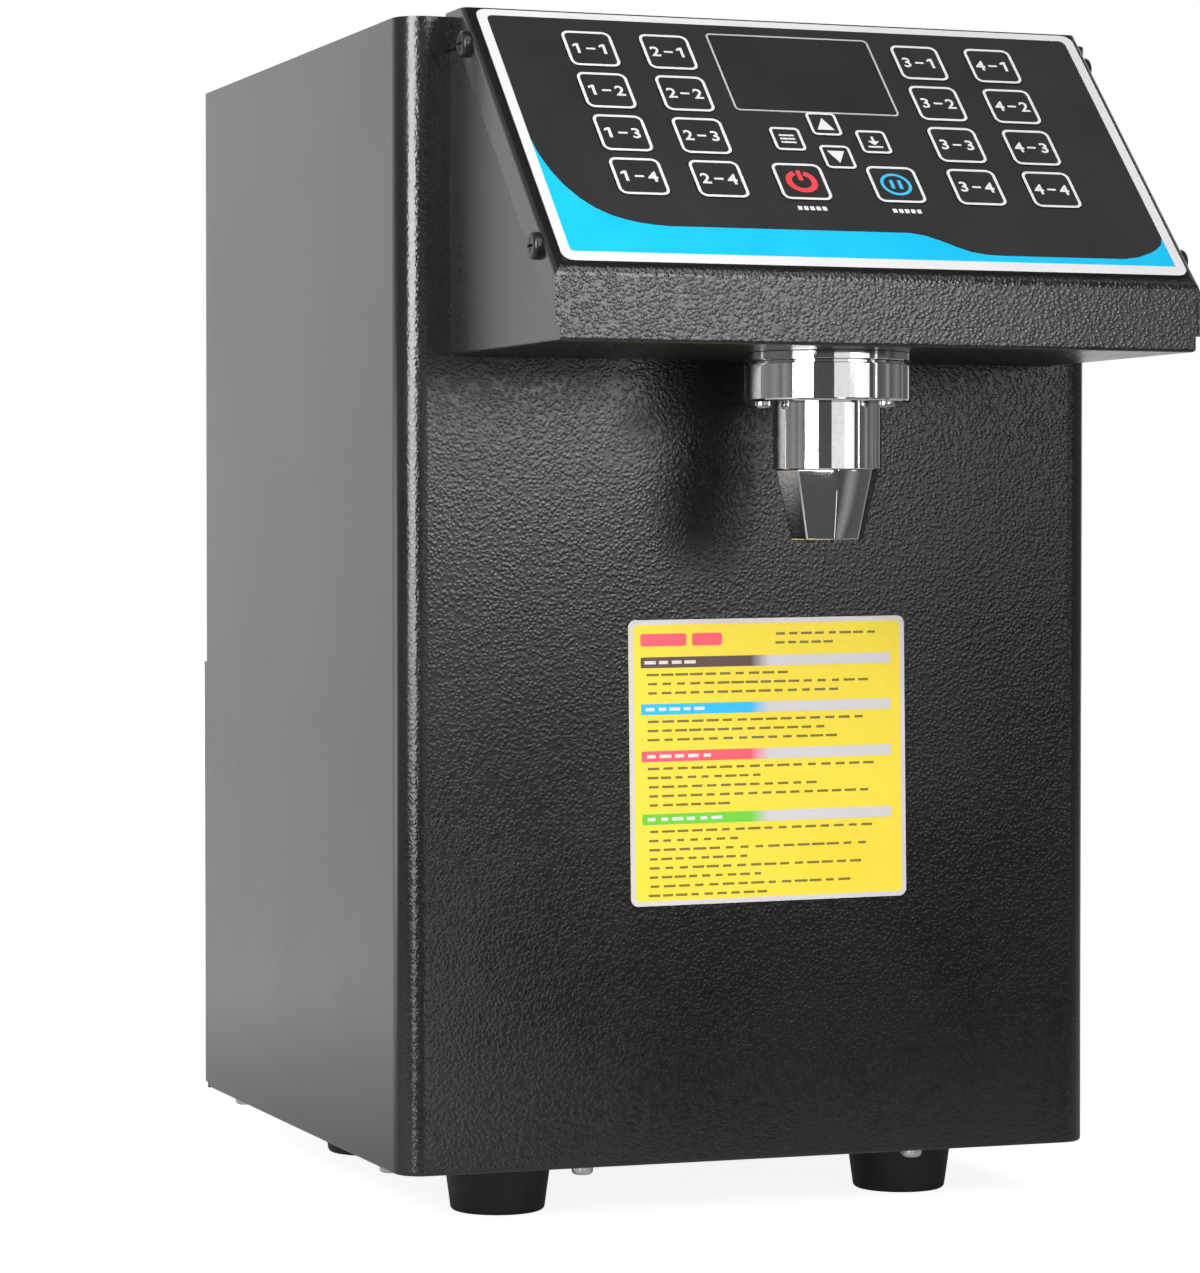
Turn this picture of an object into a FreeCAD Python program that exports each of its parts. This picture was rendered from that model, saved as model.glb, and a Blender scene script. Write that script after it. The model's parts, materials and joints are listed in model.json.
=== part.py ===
import FreeCAD
import Part
import math
import os

# Electric fructose dispenser: a sheet-metal case with an overhanging keypad head, a round syrup
# tank under a lift-off lid, a gear pump below the tank and a nozzle under the head.
#
# Everything is drawn in the case frame, in millimetres: X from the middle, Y rearwards from the
# case's front face, Z up from the case's bottom edge. export() moves it to the part's own frame,
# whose origin is on the ground in the middle of the overall width and depth.

# ---- case --------------------------------------------------------------------------------------
CASE_W = 250.0            # over the side walls
CASE_H = 379.0            # bottom edge to top deck
SHEET = 1.5               # every sheet-metal wall
CORNER_R = 9.3            # outside radius of the two front corners
LIP_W = 12.0              # lip turned in under the case, and return flange at its rear
DECK_FLANGE = 12.0        # depth of the deck's turned-down rim
FIT = 0.2                 # gap round a piece that drops into another

# ---- feet and screws ---------------------------------------------------------------------------
FOOT_H = 20.0             # ground to the case's bottom edge
FOOT_TOP_R = 19.0
FOOT_BOTTOM_R = 16.0
FOOT_EDGE_R = 1.6         # rounding of the foot's lower edge
FOOT_INSET = 50.0         # foot centre in from the case's faces
FOOT_WELL_R = 6.0         # well in the foot that hides its screw's head
FOOT_WELL_H = 8.0
SCREW_R = 2.0             # M4 shank
SCREW_HEAD_R = 3.6
SCREW_HEAD_H = 2.8
SCREW_LENGTH = 8.0
THREAD_FIT = 0.1          # radial gap between a shank and its hole
NUT_AF = 7.0              # M4 nut, across flats
NUT_H = 3.2
SCREW_END = 1.0           # a screw's end beyond its nut
SCREW_GRIP = 3.0          # and inside a wall without one
SCREW_DOME = 0.55         # rounding of a head's edge and half its cross, as shares of the head
CROSS_W = 0.9             # arms of the cross in a head
BASE_SCREW_X = 60.0       # front lip's screws, either side of the middle
LIP_SCREW_INSET = 6.0     # a lip's screws, in from the case's face
SIDE_SCREW_END = 32.0     # side lip's screws, in from the front and rear faces

# ---- rear --------------------------------------------------------------------------------------
COVER_PROUD = 5.0         # rear cover's depth behind the case
COVER_Z = 2.0             # its lower edge
COVER_H = 161.0
COVER_EDGE_R = 2.0
OPENING_MARGIN = 22.0     # service opening in from the cover's edges
LOUVRE_W = 46.0
LOUVRE_H = 4.0
LOUVRE_END_R = 1.95       # a louvre's round ends, just under half its height
LOUVRE_PITCH = 11.0
LOUVRE_ROWS = 9
LOUVRE_GAP = 14.0         # between the two columns of louvres
LOUVRE_TOP = 34.0         # cover's top edge to the first louvre
COVER_SCREW_Z = 14.0      # cover's screws in from its lower and upper edge
PANEL_SCREW_DROP = (30.0, 150.0)   # rear panel's upper screws, down from the case's top

# ---- head --------------------------------------------------------------------------------------
HEAD_INSET = 17.0         # cheek in from the case's side
HEAD_OUT = 107.0          # fascia in front of the case
HEAD_RISE = 1.0           # head's top above the case's
HEAD_H = 111.5            # head's top to its underside
FASCIA_H = 22.0           # vertical front below the slope
TOP_STRIP = 18.0          # level strip behind the slope
FLANGE_W = 12.0           # keypad panel's flange down each cheek
BEND_R = 2.4              # outside radius of the flange's bend
NOSE_R = 4.6              # rounding of the plate's lower edge, where it meets the fascia
EDGE_R = 1.2              # outside radius of the head's bends under it and the case's lower bend
WINDOW_SIDE = 28.0        # opening in the case behind the head: in from the cheeks,
WINDOW_LOW = 16.5         # up from the head's underside
WINDOW_TOP = 15.0         # and down from the head's top
HEAD_SCREW_R = 4.3        # black pan head
HEAD_SCREW_H = 2.5
HEAD_SCREW_IN = 6.0       # in from the slope's edge
HEAD_SCREW_LOW = 16.8     # along the slope, from its lower edge
HEAD_SCREW_TOP = 11.5     # and from its upper edge

# ---- keypad ------------------------------------------------------------------------------------
OVERLAY_T = 0.8
OVERLAY_SIDE = 1.7        # film in from the cheeks' outsides,
OVERLAY_LOW = 2.8         # up from the slope's lower edge
OVERLAY_TOP = 1.7         # and down from its upper edge
OVERLAY_R = 3.6
KEY_W = 17.0
KEY_H = 17.5
KEY_R = 2.8
SMALL_KEY_W = 10.5
SMALL_KEY_H = 11.3
SMALL_KEY_R = 1.8
KEY_OUTER_X = 71.2        # middles of the outer and inner columns, either side of the middle
KEY_INNER_X = 44.5
KEY_ROWS = 4
ROW_PITCH = 21.0
TOP_ROW = 18.5            # film's upper edge to the top row's middle
KEY_GAP = 0.3             # round each key
KEY_T = 0.6
KEY_PROUD = 0.3           # key's face above the film's
KEY_TRAVEL = 0.4
STEM_R = 2.0
STEM_FIT = 0.5            # round a stem in the panel
POWER_X = 16.3            # power and pause keys, either side of the middle, in line with the last row
SET_X = 15.0              # set and save keys, either side of the middle, in line with the third row
ARROW_RISE = 8.2          # up and down keys above and below that line
DISPLAY_W = 55.5
DISPLAY_H = 37.0
DISPLAY_R = 1.5
DISPLAY_DROP = 27.0       # film's upper edge to the display's middle
DISPLAY_LEDGE = 2.0       # panel under the window's rim
DISPLAY_BODY_GAP = 0.3    # display module below its window, and inside the panel's opening
BOARD_DROP = 6.0          # panel's inside to the board
BOARD_T = 1.6
BOARD_MARGIN = 11.0       # board beyond the outer keys' middles
POST_R = 3.2
POST_INSET = 3.8          # post's middle in from the board's edges
BOARD_SCREW_R = 1.4
BOARD_HOLE_R = 1.5
BOARD_SCREW_HEAD_H = 2.0
BOARD_SCREW_GRIP = 4.2    # in its post
CONTROLLER = (14.0, 14.0, 2.0)     # width, height and depth of the blocks on the board's rear
SUPPLY_PLUG = (24.0, 7.0, 6.0)
REGULATOR = (12.0, 9.0, 3.0)
MOTOR_PLUG = (7.0, 24.0, 6.0)
SWITCH_SIDE = 6.0
STEM_END_GAP = 0.1        # stem above its switch when pressed
SWITCH_H = 3.5

# ---- nozzle ------------------------------------------------------------------------------------
NOZZLE_SETBACK = 47.0     # nozzle's axis behind the fascia
RING_R = 27.0
RING_H = 2.8
GROOVE_R = 25.4
GROOVE_H = 1.1
COLLAR_R = 27.0
COLLAR_H = 12.1
COLLAR_CHAMFER = 0.7
NECK_R = 12.0             # threaded neck through the collar, ring and head
BODY_R = 17.5
BODY_H = 21.5
TIP_H = 22.5
TIP_TOP_R = 17.0          # to the corners
TIP_BOTTOM_R = 11.8
TIP_SIDES = 8
TIP_TURN = 11.0           # a corner's turn from the front towards -X, degrees
TIP_CHAMFER = 0.6
NOZZLE_BORE_R = 8.0
BODY_BORE_R = 6.5
NECK_END = 1.0            # neck beyond its nut
NOZZLE_NUT_AF = 34.0
NOZZLE_NUT_H = 6.0
COLLAR_SCREW_CIRCLE = 22.8
COLLAR_SCREWS = 3
COLLAR_SCREW_TURN = 62.0  # first collar screw's turn from +X, degrees
COLLAR_SCREW_R = 1.5
COLLAR_SCREW_HEAD_R = 2.7
COLLAR_SCREW_HEAD_H = 1.9

# ---- tank --------------------------------------------------------------------------------------
TANK_R = 99.0             # inside
TANK_WALL = 1.0
TANK_FRONT_GAP = 13.5     # delivery hose to the tank's wall
TANK_REAR_GAP = 3.5       # tank's rim to the rear panel
TANK_CORNER_R = 8.0
DECK_GAP = 0.5            # tank's wall inside the deck's hole
RIM_W = 6.5               # tank's rim beyond its wall
RIM_T = 1.5
LID_BEYOND = 5.0          # lid's edge beyond the tank's wall
LID_H = 6.0
LID_T = 1.2
LID_EDGE_R = 3.0
LID_SEAT = 0.3            # lid above the rim
LID_TAB_GAP = 2.0         # lid's four locating tabs inside the tank
LID_TAB_H = 8.0           # below the lid's edge
LID_TAB_W = 34.0
KNOB_R = 15.0
KNOB_H = 8.5
KNOB_RIM = (0.5, 0.8)     # the knob's upright rim, from and to these shares of its height
KNOB_TOP_R = 12.9
KNOB_NECK_R = 9.0
KNOB_WAIST_R = 7.2
KNOB_NECK_H = 3.0
OUTLET_FLANGE_R = 13.0
OUTLET_FLANGE_T = 3.0
OUTLET_STEM_R = 8.0
OUTLET_NUT_AF = 24.0
OUTLET_NUT_H = 7.0
HEATER_T = 2.0
HEATER_H = 60.0
HEATER_UP = 18.0          # above the tank's bottom
HEATER_GAP_ANGLE = 14.0   # degrees left open, where the band's ends are drawn together,
HEATER_GAP_TURN = 45.0    # turned this far from -X towards the front
HEATER_LUG = 8.0
HEATER_LUG_TURN = 1.0     # degrees from the band's end to its lug

# ---- hoses -------------------------------------------------------------------------------------
HOSE_R = 7.0
HOSE_BORE_R = 5.0
SPIGOT_FIT = 0.1          # spigot inside the hose
ARC_GAP = 0.1             # short straight between the two arcs over the nozzle
SPIGOT_L = 14.0
SPIGOT_BORE_R = 3.5
HOSE_SLACK = 2.0          # straight hose beyond a spigot
HOSE_WALL_GAP = 6.0       # riser behind the case's front wall
DELIVERY_BEND_R = 24.0
CLAMP_T = 1.0
CLAMP_W = 9.0
CLAMP_BOX = 7.0           # screw housing, across
CLAMP_BOX_H = 5.0

# ---- pump and drive ----------------------------------------------------------------------------
GEAR_TEETH = 12
GEAR_MODULE = 2.0
GEAR_W = 20.0
PRESSURE_ANGLE = 20.0
ADDENDUM = 0.8            # stub teeth, in modules
DEDENDUM = 1.1
BACKLASH = 0.3
FLANK_STEPS = 5           # straight pieces in a tooth's curved flank
GEAR_END_GAP = 0.15
GEAR_TIP_GAP = 0.3
SHAFT_R = 4.0
SHAFT_FIT = 0.05
PUMP_DEPTH = 36.0         # along Y
PUMP_RISE = 32.0          # half the pump's height
PUMP_WALL = 12.0          # between the gears and the bracket
PUMP_COVER_T = 8.0
PUMP_EDGE_R = 4.0
BEARING_L = 8.0           # a shaft's length in its blind bearing,
COVER_BEARING_L = 5.5     # and in the pump cover
BEARING_END_GAP = 0.5
PUMP_BOLT_Y = 13.5        # pump bolts from the pump's middle
PUMP_BOLT_Z = 27.5
SHAFT_HOLE_GAP = 1.0      # round the shaft in the bracket
BRACKET_T = 3.0
BRACKET_SIDE = 6.0        # bracket beyond the pump's sides
BRACKET_FOOT = 40.0
MOTOR_R = 26.0            # gearbox
MOTOR_CLEAR = 14.0        # under the gearbox
GEARBOX_L = 30.0
MOTOR_CAN_R = 21.0
MOTOR_CAN_L = 54.0
MOTOR_SOCKET_L = 15.0     # shaft in the gearbox
GEARBOX_EDGE_R = 2.0
MOTOR_CAN_EDGE_R = 3.0
MOTOR_BOSS_R = 7.0        # rear bearing
MOTOR_BOSS_L = 3.0
MOTOR_TAG_SPREAD = 13.0   # terminal tags, either side of the shaft
MOTOR_TAG_W = 4.8
MOTOR_TAG_T = 0.8
MOTOR_TAG_L = 7.0

# ---- electrics ---------------------------------------------------------------------------------
SUPPLY_W = 68.0
SUPPLY_D = 100.0
SUPPLY_H = 36.0
SUPPLY_GAP = 8.0          # beside the pump's cover
SUPPLY_SETBACK = 12.0     # behind the front feet's middles
VENT_W = 2.5              # slots in the supply's top
VENT_PITCH = 7.0
VENT_MARGIN = 14.0
TERMINAL_D = 14.0
TERMINAL_H = 12.0
INLET_SIDE = 45.0         # inlet's middle in from the cover's side
INLET_UP = 62.0           # inlet's middle above the cover's lower edge
INLET_W = 32.0            # flange
INLET_H = 60.0
INLET_FLANGE_T = 1.6
INLET_RIM = 2.5           # flange beyond its cut-out
INLET_CORNER_R = 3.0
INLET_DEPTH = 26.0
SOCKET_W = 24.0
SOCKET_H = 16.5
SOCKET_DEPTH = 17.0
SOCKET_CHAMFER = 4.0
SOCKET_DROP = 13.0        # socket's middle below the inlet's
PIN_W = 2.0
PIN_L = 4.0
PIN_OUT = 11.5
PIN_SPACING = 7.0
ROCKER_UP = 16.5          # rocker's middle above the inlet's
ROCKER_W = 20.0           # along X
ROCKER_H = 13.0           # along Z
ROCKER_GAP = 0.6
ROCKER_PROUD = 1.9
ROCKER_DEPTH = 9.0        # pocket
ROCKER_PIVOT_IN = 3.5     # pivot below the flange's face
ROCKER_PIVOT_R = 1.5
ROCKER_PIVOT_L = 1.2
ROCKER_TILT = 7.0         # each side of level, degrees
ROCKER_KEEL = 4.0         # rocker's taper below its pivot
ROCKER_END_DROP = 0.5     # rocker's ends below its highest line

# ---- card --------------------------------------------------------------------------------------
CARD_W = 100.0
CARD_H = 95.4
CARD_T = 0.4
CARD_R = 2.5
CARD_X = 4.5
CARD_Z = 134.8
CARD_TURN = 0.7           # degrees

# ---- worked out from the sizes above -----------------------------------------------------------
RISER_Y = SHEET + HOSE_WALL_GAP + HOSE_R
TANK_Y = RISER_Y + HOSE_R + TANK_FRONT_GAP + TANK_WALL + TANK_R
CASE_D = TANK_Y + TANK_R + TANK_WALL + RIM_W + TANK_REAR_GAP + 2 * SHEET   # front face to rear face
LID_R = TANK_R + TANK_WALL + LID_BEYOND

HEAD_TOP = CASE_H + HEAD_RISE
HEAD_BOTTOM = HEAD_TOP - HEAD_H
FASCIA_TOP = HEAD_BOTTOM + FASCIA_H
CHEEK_X = CASE_W / 2 - HEAD_INSET
SLOPE_RUN = HEAD_OUT - TOP_STRIP
SLOPE_RISE = HEAD_TOP - FASCIA_TOP
SLOPE_ANGLE = math.degrees(math.atan2(SLOPE_RISE, SLOPE_RUN))
SLOPE_L = math.hypot(SLOPE_RUN, SLOPE_RISE)

OVERLAY_V0 = OVERLAY_LOW
OVERLAY_V1 = SLOPE_L - OVERLAY_TOP
OVERLAY_HALF = CHEEK_X - OVERLAY_SIDE
KEY_COLUMNS = (-KEY_OUTER_X, -KEY_INNER_X, KEY_INNER_X, KEY_OUTER_X)
ROW_V = [OVERLAY_V1 - TOP_ROW - ROW_PITCH * row for row in range(KEY_ROWS)]
DISPLAY_V = OVERLAY_V1 - DISPLAY_DROP
BOARD_N = -SHEET - BOARD_DROP                  # board's upper face, below the panel's outside
STEM_N = BOARD_N + SWITCH_H + KEY_TRAVEL + STEM_END_GAP
KEY_TOP_N = OVERLAY_T + KEY_PROUD

NOZZLE_Y = -HEAD_OUT + NOZZLE_SETBACK
COLLAR_TOP = HEAD_BOTTOM - RING_H - GROOVE_H
COLLAR_BOTTOM = COLLAR_TOP - COLLAR_H
BODY_BOTTOM = COLLAR_BOTTOM - BODY_H
TIP_BOTTOM = BODY_BOTTOM - TIP_H
NECK_TOP = HEAD_BOTTOM + SHEET + NOZZLE_NUT_H + NECK_END

FLOOR_Z = 2 * SHEET                            # upper face of the base plate
GEAR_CENTRES = GEAR_TEETH * GEAR_MODULE
GEAR_TIP_R = GEAR_CENTRES / 2 + ADDENDUM * GEAR_MODULE
DRIVE_Z = FLOOR_Z + MOTOR_CLEAR + MOTOR_R
PUMP_Z = DRIVE_Z + GEAR_CENTRES / 2
CAVITY_X0 = -GEAR_W / 2 - (PUMP_WALL - PUMP_COVER_T) / 2
CAVITY_X1 = CAVITY_X0 + GEAR_W
PUMP_X1 = CAVITY_X1 + PUMP_WALL
PUMP_X0 = CAVITY_X0 - PUMP_COVER_T
BRACKET_X = PUMP_X1 + BRACKET_T
PUMP_FRONT = RISER_Y + DELIVERY_BEND_R + HOSE_SLACK + SPIGOT_L
PUMP_Y = PUMP_FRONT + PUMP_DEPTH / 2
PUMP_BACK = PUMP_FRONT + PUMP_DEPTH

SUCTION_BEND_R = TANK_Y - PUMP_BACK - SPIGOT_L - HOSE_SLACK
OUTLET_Z = PUMP_Z + SUCTION_BEND_R + HOSE_SLACK + SPIGOT_L   # where the outlet's spigot begins
TANK_BOTTOM = OUTLET_Z + OUTLET_NUT_H
RIM_Z = CASE_H + RIM_T
LID_Z = RIM_Z + LID_SEAT
RISER_TOP = NECK_TOP + SPIGOT_L + HOSE_SLACK + (RISER_Y - NOZZLE_Y) / 2

SUPPLY_Y = FOOT_INSET + SUPPLY_SETBACK
COVER_FACE = CASE_D + COVER_PROUD
INLET_X = -CASE_W / 2 + INLET_SIDE
INLET_Z = COVER_Z + INLET_UP
INLET_FACE = COVER_FACE + INLET_FLANGE_T
ROCKER_Z = INLET_Z + ROCKER_UP
PIVOT_Y = INLET_FACE - ROCKER_PIVOT_IN
REAR_Y = INLET_FACE + ROCKER_PROUD

X_AXIS = FreeCAD.Vector(1, 0, 0)
Y_AXIS = FreeCAD.Vector(0, 1, 0)
Z_AXIS = FreeCAD.Vector(0, 0, 1)
BEYOND = 1.0              # how far a cutting tool runs past the face it opens
NEAR = 1e-6               # two places this close are the same


# ---- plain shapes ------------------------------------------------------------------------------
def point(x, y, z):
    return FreeCAD.Vector(x, y, z)


def block(x0, x1, y0, y1, z0, z1):
    return Part.makeBox(x1 - x0, y1 - y0, z1 - z0, point(x0, y0, z0))


def rod(radius, length, start, axis=Z_AXIS):
    return Part.makeCylinder(radius, length, start, axis)


def pipe(outer_r, bore_r, length, start, axis=Z_AXIS):
    return rod(outer_r, length, start, axis).cut(rod(bore_r, length, start, axis))


def polygon_face(points):
    return Part.Face(Part.makePolygon(points + points[:1]))


def prism(points, along):
    return polygon_face(points).extrude(along)


def polygon_prism(across_flats, height, start, axis=Z_AXIS, sides=6):
    """Regular prism, such as a nut, standing on start."""
    radius = across_flats / 2 / math.cos(math.pi / sides)
    ring = [point(radius * math.cos(2 * math.pi * i / sides),
                  radius * math.sin(2 * math.pi * i / sides), 0) for i in range(sides)]
    turn = FreeCAD.Rotation(Z_AXIS, axis)
    return placed(prism(ring, Z_AXIS * height), FreeCAD.Placement(start, turn))


def turned(profile, centre):
    """Solid of revolution about the vertical through centre; profile is (radius, height) pairs."""
    face = polygon_face([point(r, 0, z) for r, z in profile])
    solid = face.revolve(point(0, 0, 0), Z_AXIS, 360)
    solid.translate(centre)
    return solid


def placed(shape, placement):
    moved = shape.copy()
    moved.Placement = placement.multiply(moved.Placement)
    return moved


def rounded(shape, radius, wanted):
    """Fillet the edges that wanted(edge) picks."""
    return shape.makeFillet(radius, [edge for edge in shape.Edges if wanted(edge)])


def runs_along(edge, axis):
    """Whether a straight edge lies along the axis."""
    if not isinstance(edge.Curve, Part.Line):
        return False
    return edge.tangentAt(edge.FirstParameter).cross(axis).Length < NEAR


def rounded_plate(width, height, radius, thickness):
    """Plate centred on the origin in X and Y, with rounded corners, up from Z = 0."""
    plate = block(-width / 2, width / 2, -height / 2, height / 2, 0, thickness)
    return rounded(plate, radius, lambda edge: runs_along(edge, Z_AXIS))


def drilled(shape, holes):
    return shape.cut(Part.makeCompound(holes)) if holes else shape


def single(shape):
    """The one solid of a boolean's result, with its split faces merged."""
    return shape.removeSplitter().Solids[0]


# ---- fasteners ---------------------------------------------------------------------------------
def pan_screw(head_r, head_h, shank_r, length, seat, axis):
    """Pan-head screw: seat is under the head, axis points from the shank to the head."""
    head = rod(head_r, head_h, point(0, 0, 0))
    head = rounded(head, head_h * SCREW_DOME, lambda edge: edge.BoundBox.ZMin > head_h - NEAR)
    arm = head_r * SCREW_DOME
    wide = CROSS_W / 2
    for cross in (block(-arm, arm, -wide, wide, head_h / 2, head_h + BEYOND),
                  block(-wide, wide, -arm, arm, head_h / 2, head_h + BEYOND)):
        head = head.cut(cross)
    screw = head.fuse(rod(shank_r, length, point(0, 0, -length)))
    return placed(single(screw), FreeCAD.Placement(seat, FreeCAD.Rotation(Z_AXIS, axis)))


def steel_screw(seat, axis, length=SCREW_LENGTH):
    return pan_screw(SCREW_HEAD_R, SCREW_HEAD_H, SCREW_R, length, seat, axis)


def screw_hole(seat, axis, length):
    """Clearance hole for a screw, length deep below its seat."""
    return rod(SCREW_R + THREAD_FIT, length + BEYOND, seat + axis * BEYOND, axis * -1)


def nut(seat, axis):
    body = polygon_prism(NUT_AF, NUT_H, seat, axis)
    return body.cut(rod(SCREW_R + THREAD_FIT, NUT_H, seat, axis))


# ---- places ------------------------------------------------------------------------------------
def foot_places():
    return [point(x, y, SHEET)
            for x in (-CASE_W / 2 + FOOT_INSET, CASE_W / 2 - FOOT_INSET)
            for y in (FOOT_INSET, CASE_D - FOOT_INSET)]


def lip_screw_places():
    side_x = CASE_W / 2 - LIP_SCREW_INSET
    front = [point(x, LIP_SCREW_INSET, 0) for x in (-BASE_SCREW_X, BASE_SCREW_X)]
    sides = [point(x, y, 0) for x in (-side_x, side_x)
             for y in (SIDE_SCREW_END, CASE_D - SIDE_SCREW_END)]
    return front + sides


def cover_screw_places():
    return [point(x, COVER_FACE, z)
            for x in (-CASE_W / 2 + LIP_SCREW_INSET, CASE_W / 2 - LIP_SCREW_INSET)
            for z in (COVER_Z + COVER_SCREW_Z, COVER_Z + COVER_H - COVER_SCREW_Z)]


def panel_screw_places():
    return [point(x, CASE_D, CASE_H - drop)
            for x in (-CASE_W / 2 + LIP_SCREW_INSET, CASE_W / 2 - LIP_SCREW_INSET)
            for drop in PANEL_SCREW_DROP]


def collar_screw_places():
    turns = [math.radians(COLLAR_SCREW_TURN + 360 * i / COLLAR_SCREWS) for i in range(COLLAR_SCREWS)]
    return [point(COLLAR_SCREW_CIRCLE * math.cos(a), NOZZLE_Y + COLLAR_SCREW_CIRCLE * math.sin(a),
                  COLLAR_BOTTOM) for a in turns]


def pump_bolt_places():
    return [point(PUMP_X0, PUMP_Y + dy, PUMP_Z + dz)
            for dy in (-PUMP_BOLT_Y, PUMP_BOLT_Y) for dz in (-PUMP_BOLT_Z, PUMP_BOLT_Z)]


def bracket_screw_places():
    side = PUMP_DEPTH / 2
    far_x = BRACKET_X + BRACKET_FOOT - LIP_SCREW_INSET
    near_x = BRACKET_X + LIP_SCREW_INSET
    return [point(x, PUMP_Y + dy, FLOOR_Z + BRACKET_T)
            for x in (near_x, far_x) for dy in (-side, side)]


# ---- case --------------------------------------------------------------------------------------
def case_plan(offset, rear, z0, z1):
    """The case's plan drawn in by offset, square at the rear, from z0 to z1."""
    half = CASE_W / 2 - offset
    plan = block(-half, half, offset, rear, z0, z1)
    radius = CORNER_R - offset
    if radius <= 0:
        return plan
    return rounded(plan, radius, lambda edge: runs_along(edge, Z_AXIS)
                   and edge.BoundBox.YMax < offset + NEAR)


def outer_shell():
    """Front and sides in one bent sheet, with a lip under them and return flanges at the rear."""
    shell = case_plan(0, CASE_D, 0, CASE_H)
    shell = rounded(shell, EDGE_R, lambda edge: edge.BoundBox.ZMax < NEAR
                    and edge.BoundBox.YMin < CASE_D - NEAR)
    shell = shell.cut(case_plan(SHEET, CASE_D + BEYOND, SHEET, CASE_H + BEYOND))
    shell = shell.cut(case_plan(LIP_W, CASE_D + BEYOND, -BEYOND, SHEET + BEYOND))
    for side in (-1, 1):
        edge_x = side * CASE_W / 2
        x0, x1 = sorted((edge_x, edge_x - side * LIP_W))
        shell = shell.fuse(block(x0, x1, CASE_D - SHEET, CASE_D, 0, CASE_H))
    half = CHEEK_X - WINDOW_SIDE
    shell = shell.cut(block(-half, half, -BEYOND, SHEET + BEYOND,
                            HEAD_BOTTOM + WINDOW_LOW, HEAD_TOP - WINDOW_TOP))
    holes = [screw_hole(place, Z_AXIS * -1, SHEET + BEYOND) for place in lip_screw_places()]
    holes += [screw_hole(point(p.x, CASE_D, p.z), Y_AXIS, SHEET + BEYOND)
              for p in cover_screw_places() + panel_screw_places()]
    return single(drilled(shell, holes))


def base_plate():
    """Flat floor that rests on the shell's lips."""
    plate = case_plan(SHEET + FIT, CASE_D - 2 * SHEET, SHEET, FLOOR_Z)
    holes = [screw_hole(point(p.x, p.y, SHEET), Z_AXIS * -1, SHEET + BEYOND)
             for p in lip_screw_places() + foot_places()]
    holes += [screw_hole(point(p.x, p.y, FLOOR_Z), Z_AXIS, SHEET + BEYOND)
              for p in bracket_screw_places()]
    return single(drilled(plate, holes))


def rear_panel():
    """Rear wall inside the return flanges, with a service opening behind the cover."""
    half = CASE_W / 2 - SHEET - FIT
    inner = CASE_D - 2 * SHEET
    panel = block(-half, half, inner, CASE_D - SHEET, SHEET, CASE_H)
    opening = CASE_W / 2 - OPENING_MARGIN
    panel = panel.cut(block(-opening, opening, inner - BEYOND, CASE_D,
                            COVER_Z + OPENING_MARGIN, COVER_Z + COVER_H - OPENING_MARGIN))
    holes = [screw_hole(point(p.x, CASE_D - SHEET, p.z), Y_AXIS, SHEET + BEYOND)
             for p in cover_screw_places() + panel_screw_places()]
    return single(drilled(panel, holes))


def louvre_places():
    """Middles of the louvres, in two columns to the right of the inlet."""
    right = CASE_W / 2 - OPENING_MARGIN - LOUVRE_W / 2
    columns = (right, right - LOUVRE_W - LOUVRE_GAP)
    top = COVER_Z + COVER_H - LOUVRE_TOP
    return [(x, top - LOUVRE_PITCH * row) for x in columns for row in range(LOUVRE_ROWS)]


def rear_cover():
    """Shallow tray over the service opening, with louvres and the inlet's cut-out."""
    half = CASE_W / 2
    top = COVER_Z + COVER_H
    cover = block(-half, half, CASE_D, COVER_FACE, COVER_Z, top)
    cover = rounded(cover, COVER_EDGE_R, lambda edge: edge.BoundBox.YMin > COVER_FACE - NEAR)
    cover = cover.cut(block(-half + SHEET, half - SHEET, CASE_D - BEYOND, COVER_FACE - SHEET,
                            COVER_Z + SHEET, top - SHEET))
    rotation = FreeCAD.Rotation(X_AXIS, 90)
    for x, z in louvre_places():
        slot = rounded_plate(LOUVRE_W, LOUVRE_H, LOUVRE_END_R, COVER_PROUD + 2 * BEYOND)
        cover = cover.cut(placed(slot, FreeCAD.Placement(point(x, COVER_FACE + BEYOND, z), rotation)))
    cut_w = INLET_W / 2 - INLET_RIM
    cut_h = INLET_H / 2 - INLET_RIM
    cover = cover.cut(block(INLET_X - cut_w, INLET_X + cut_w, CASE_D - BEYOND, COVER_FACE + BEYOND,
                            INLET_Z - cut_h, INLET_Z + cut_h))
    holes = [screw_hole(place, Y_AXIS, SHEET + BEYOND) for place in cover_screw_places()]
    return single(drilled(cover, holes))


def top_deck():
    """Top tray inside the walls, its rim turned down, with the tank's round hole."""
    rear = CASE_D - 2 * SHEET
    inside = SHEET + FIT
    deck = case_plan(inside, rear, CASE_H - DECK_FLANGE, CASE_H)
    deck = deck.cut(case_plan(inside + SHEET, rear - SHEET, CASE_H - DECK_FLANGE - BEYOND,
                              CASE_H - SHEET))
    hole_r = TANK_R + TANK_WALL + DECK_GAP
    deck = deck.cut(rod(hole_r, SHEET + 2 * BEYOND, point(0, TANK_Y, CASE_H - SHEET - BEYOND)))
    return single(deck)


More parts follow.
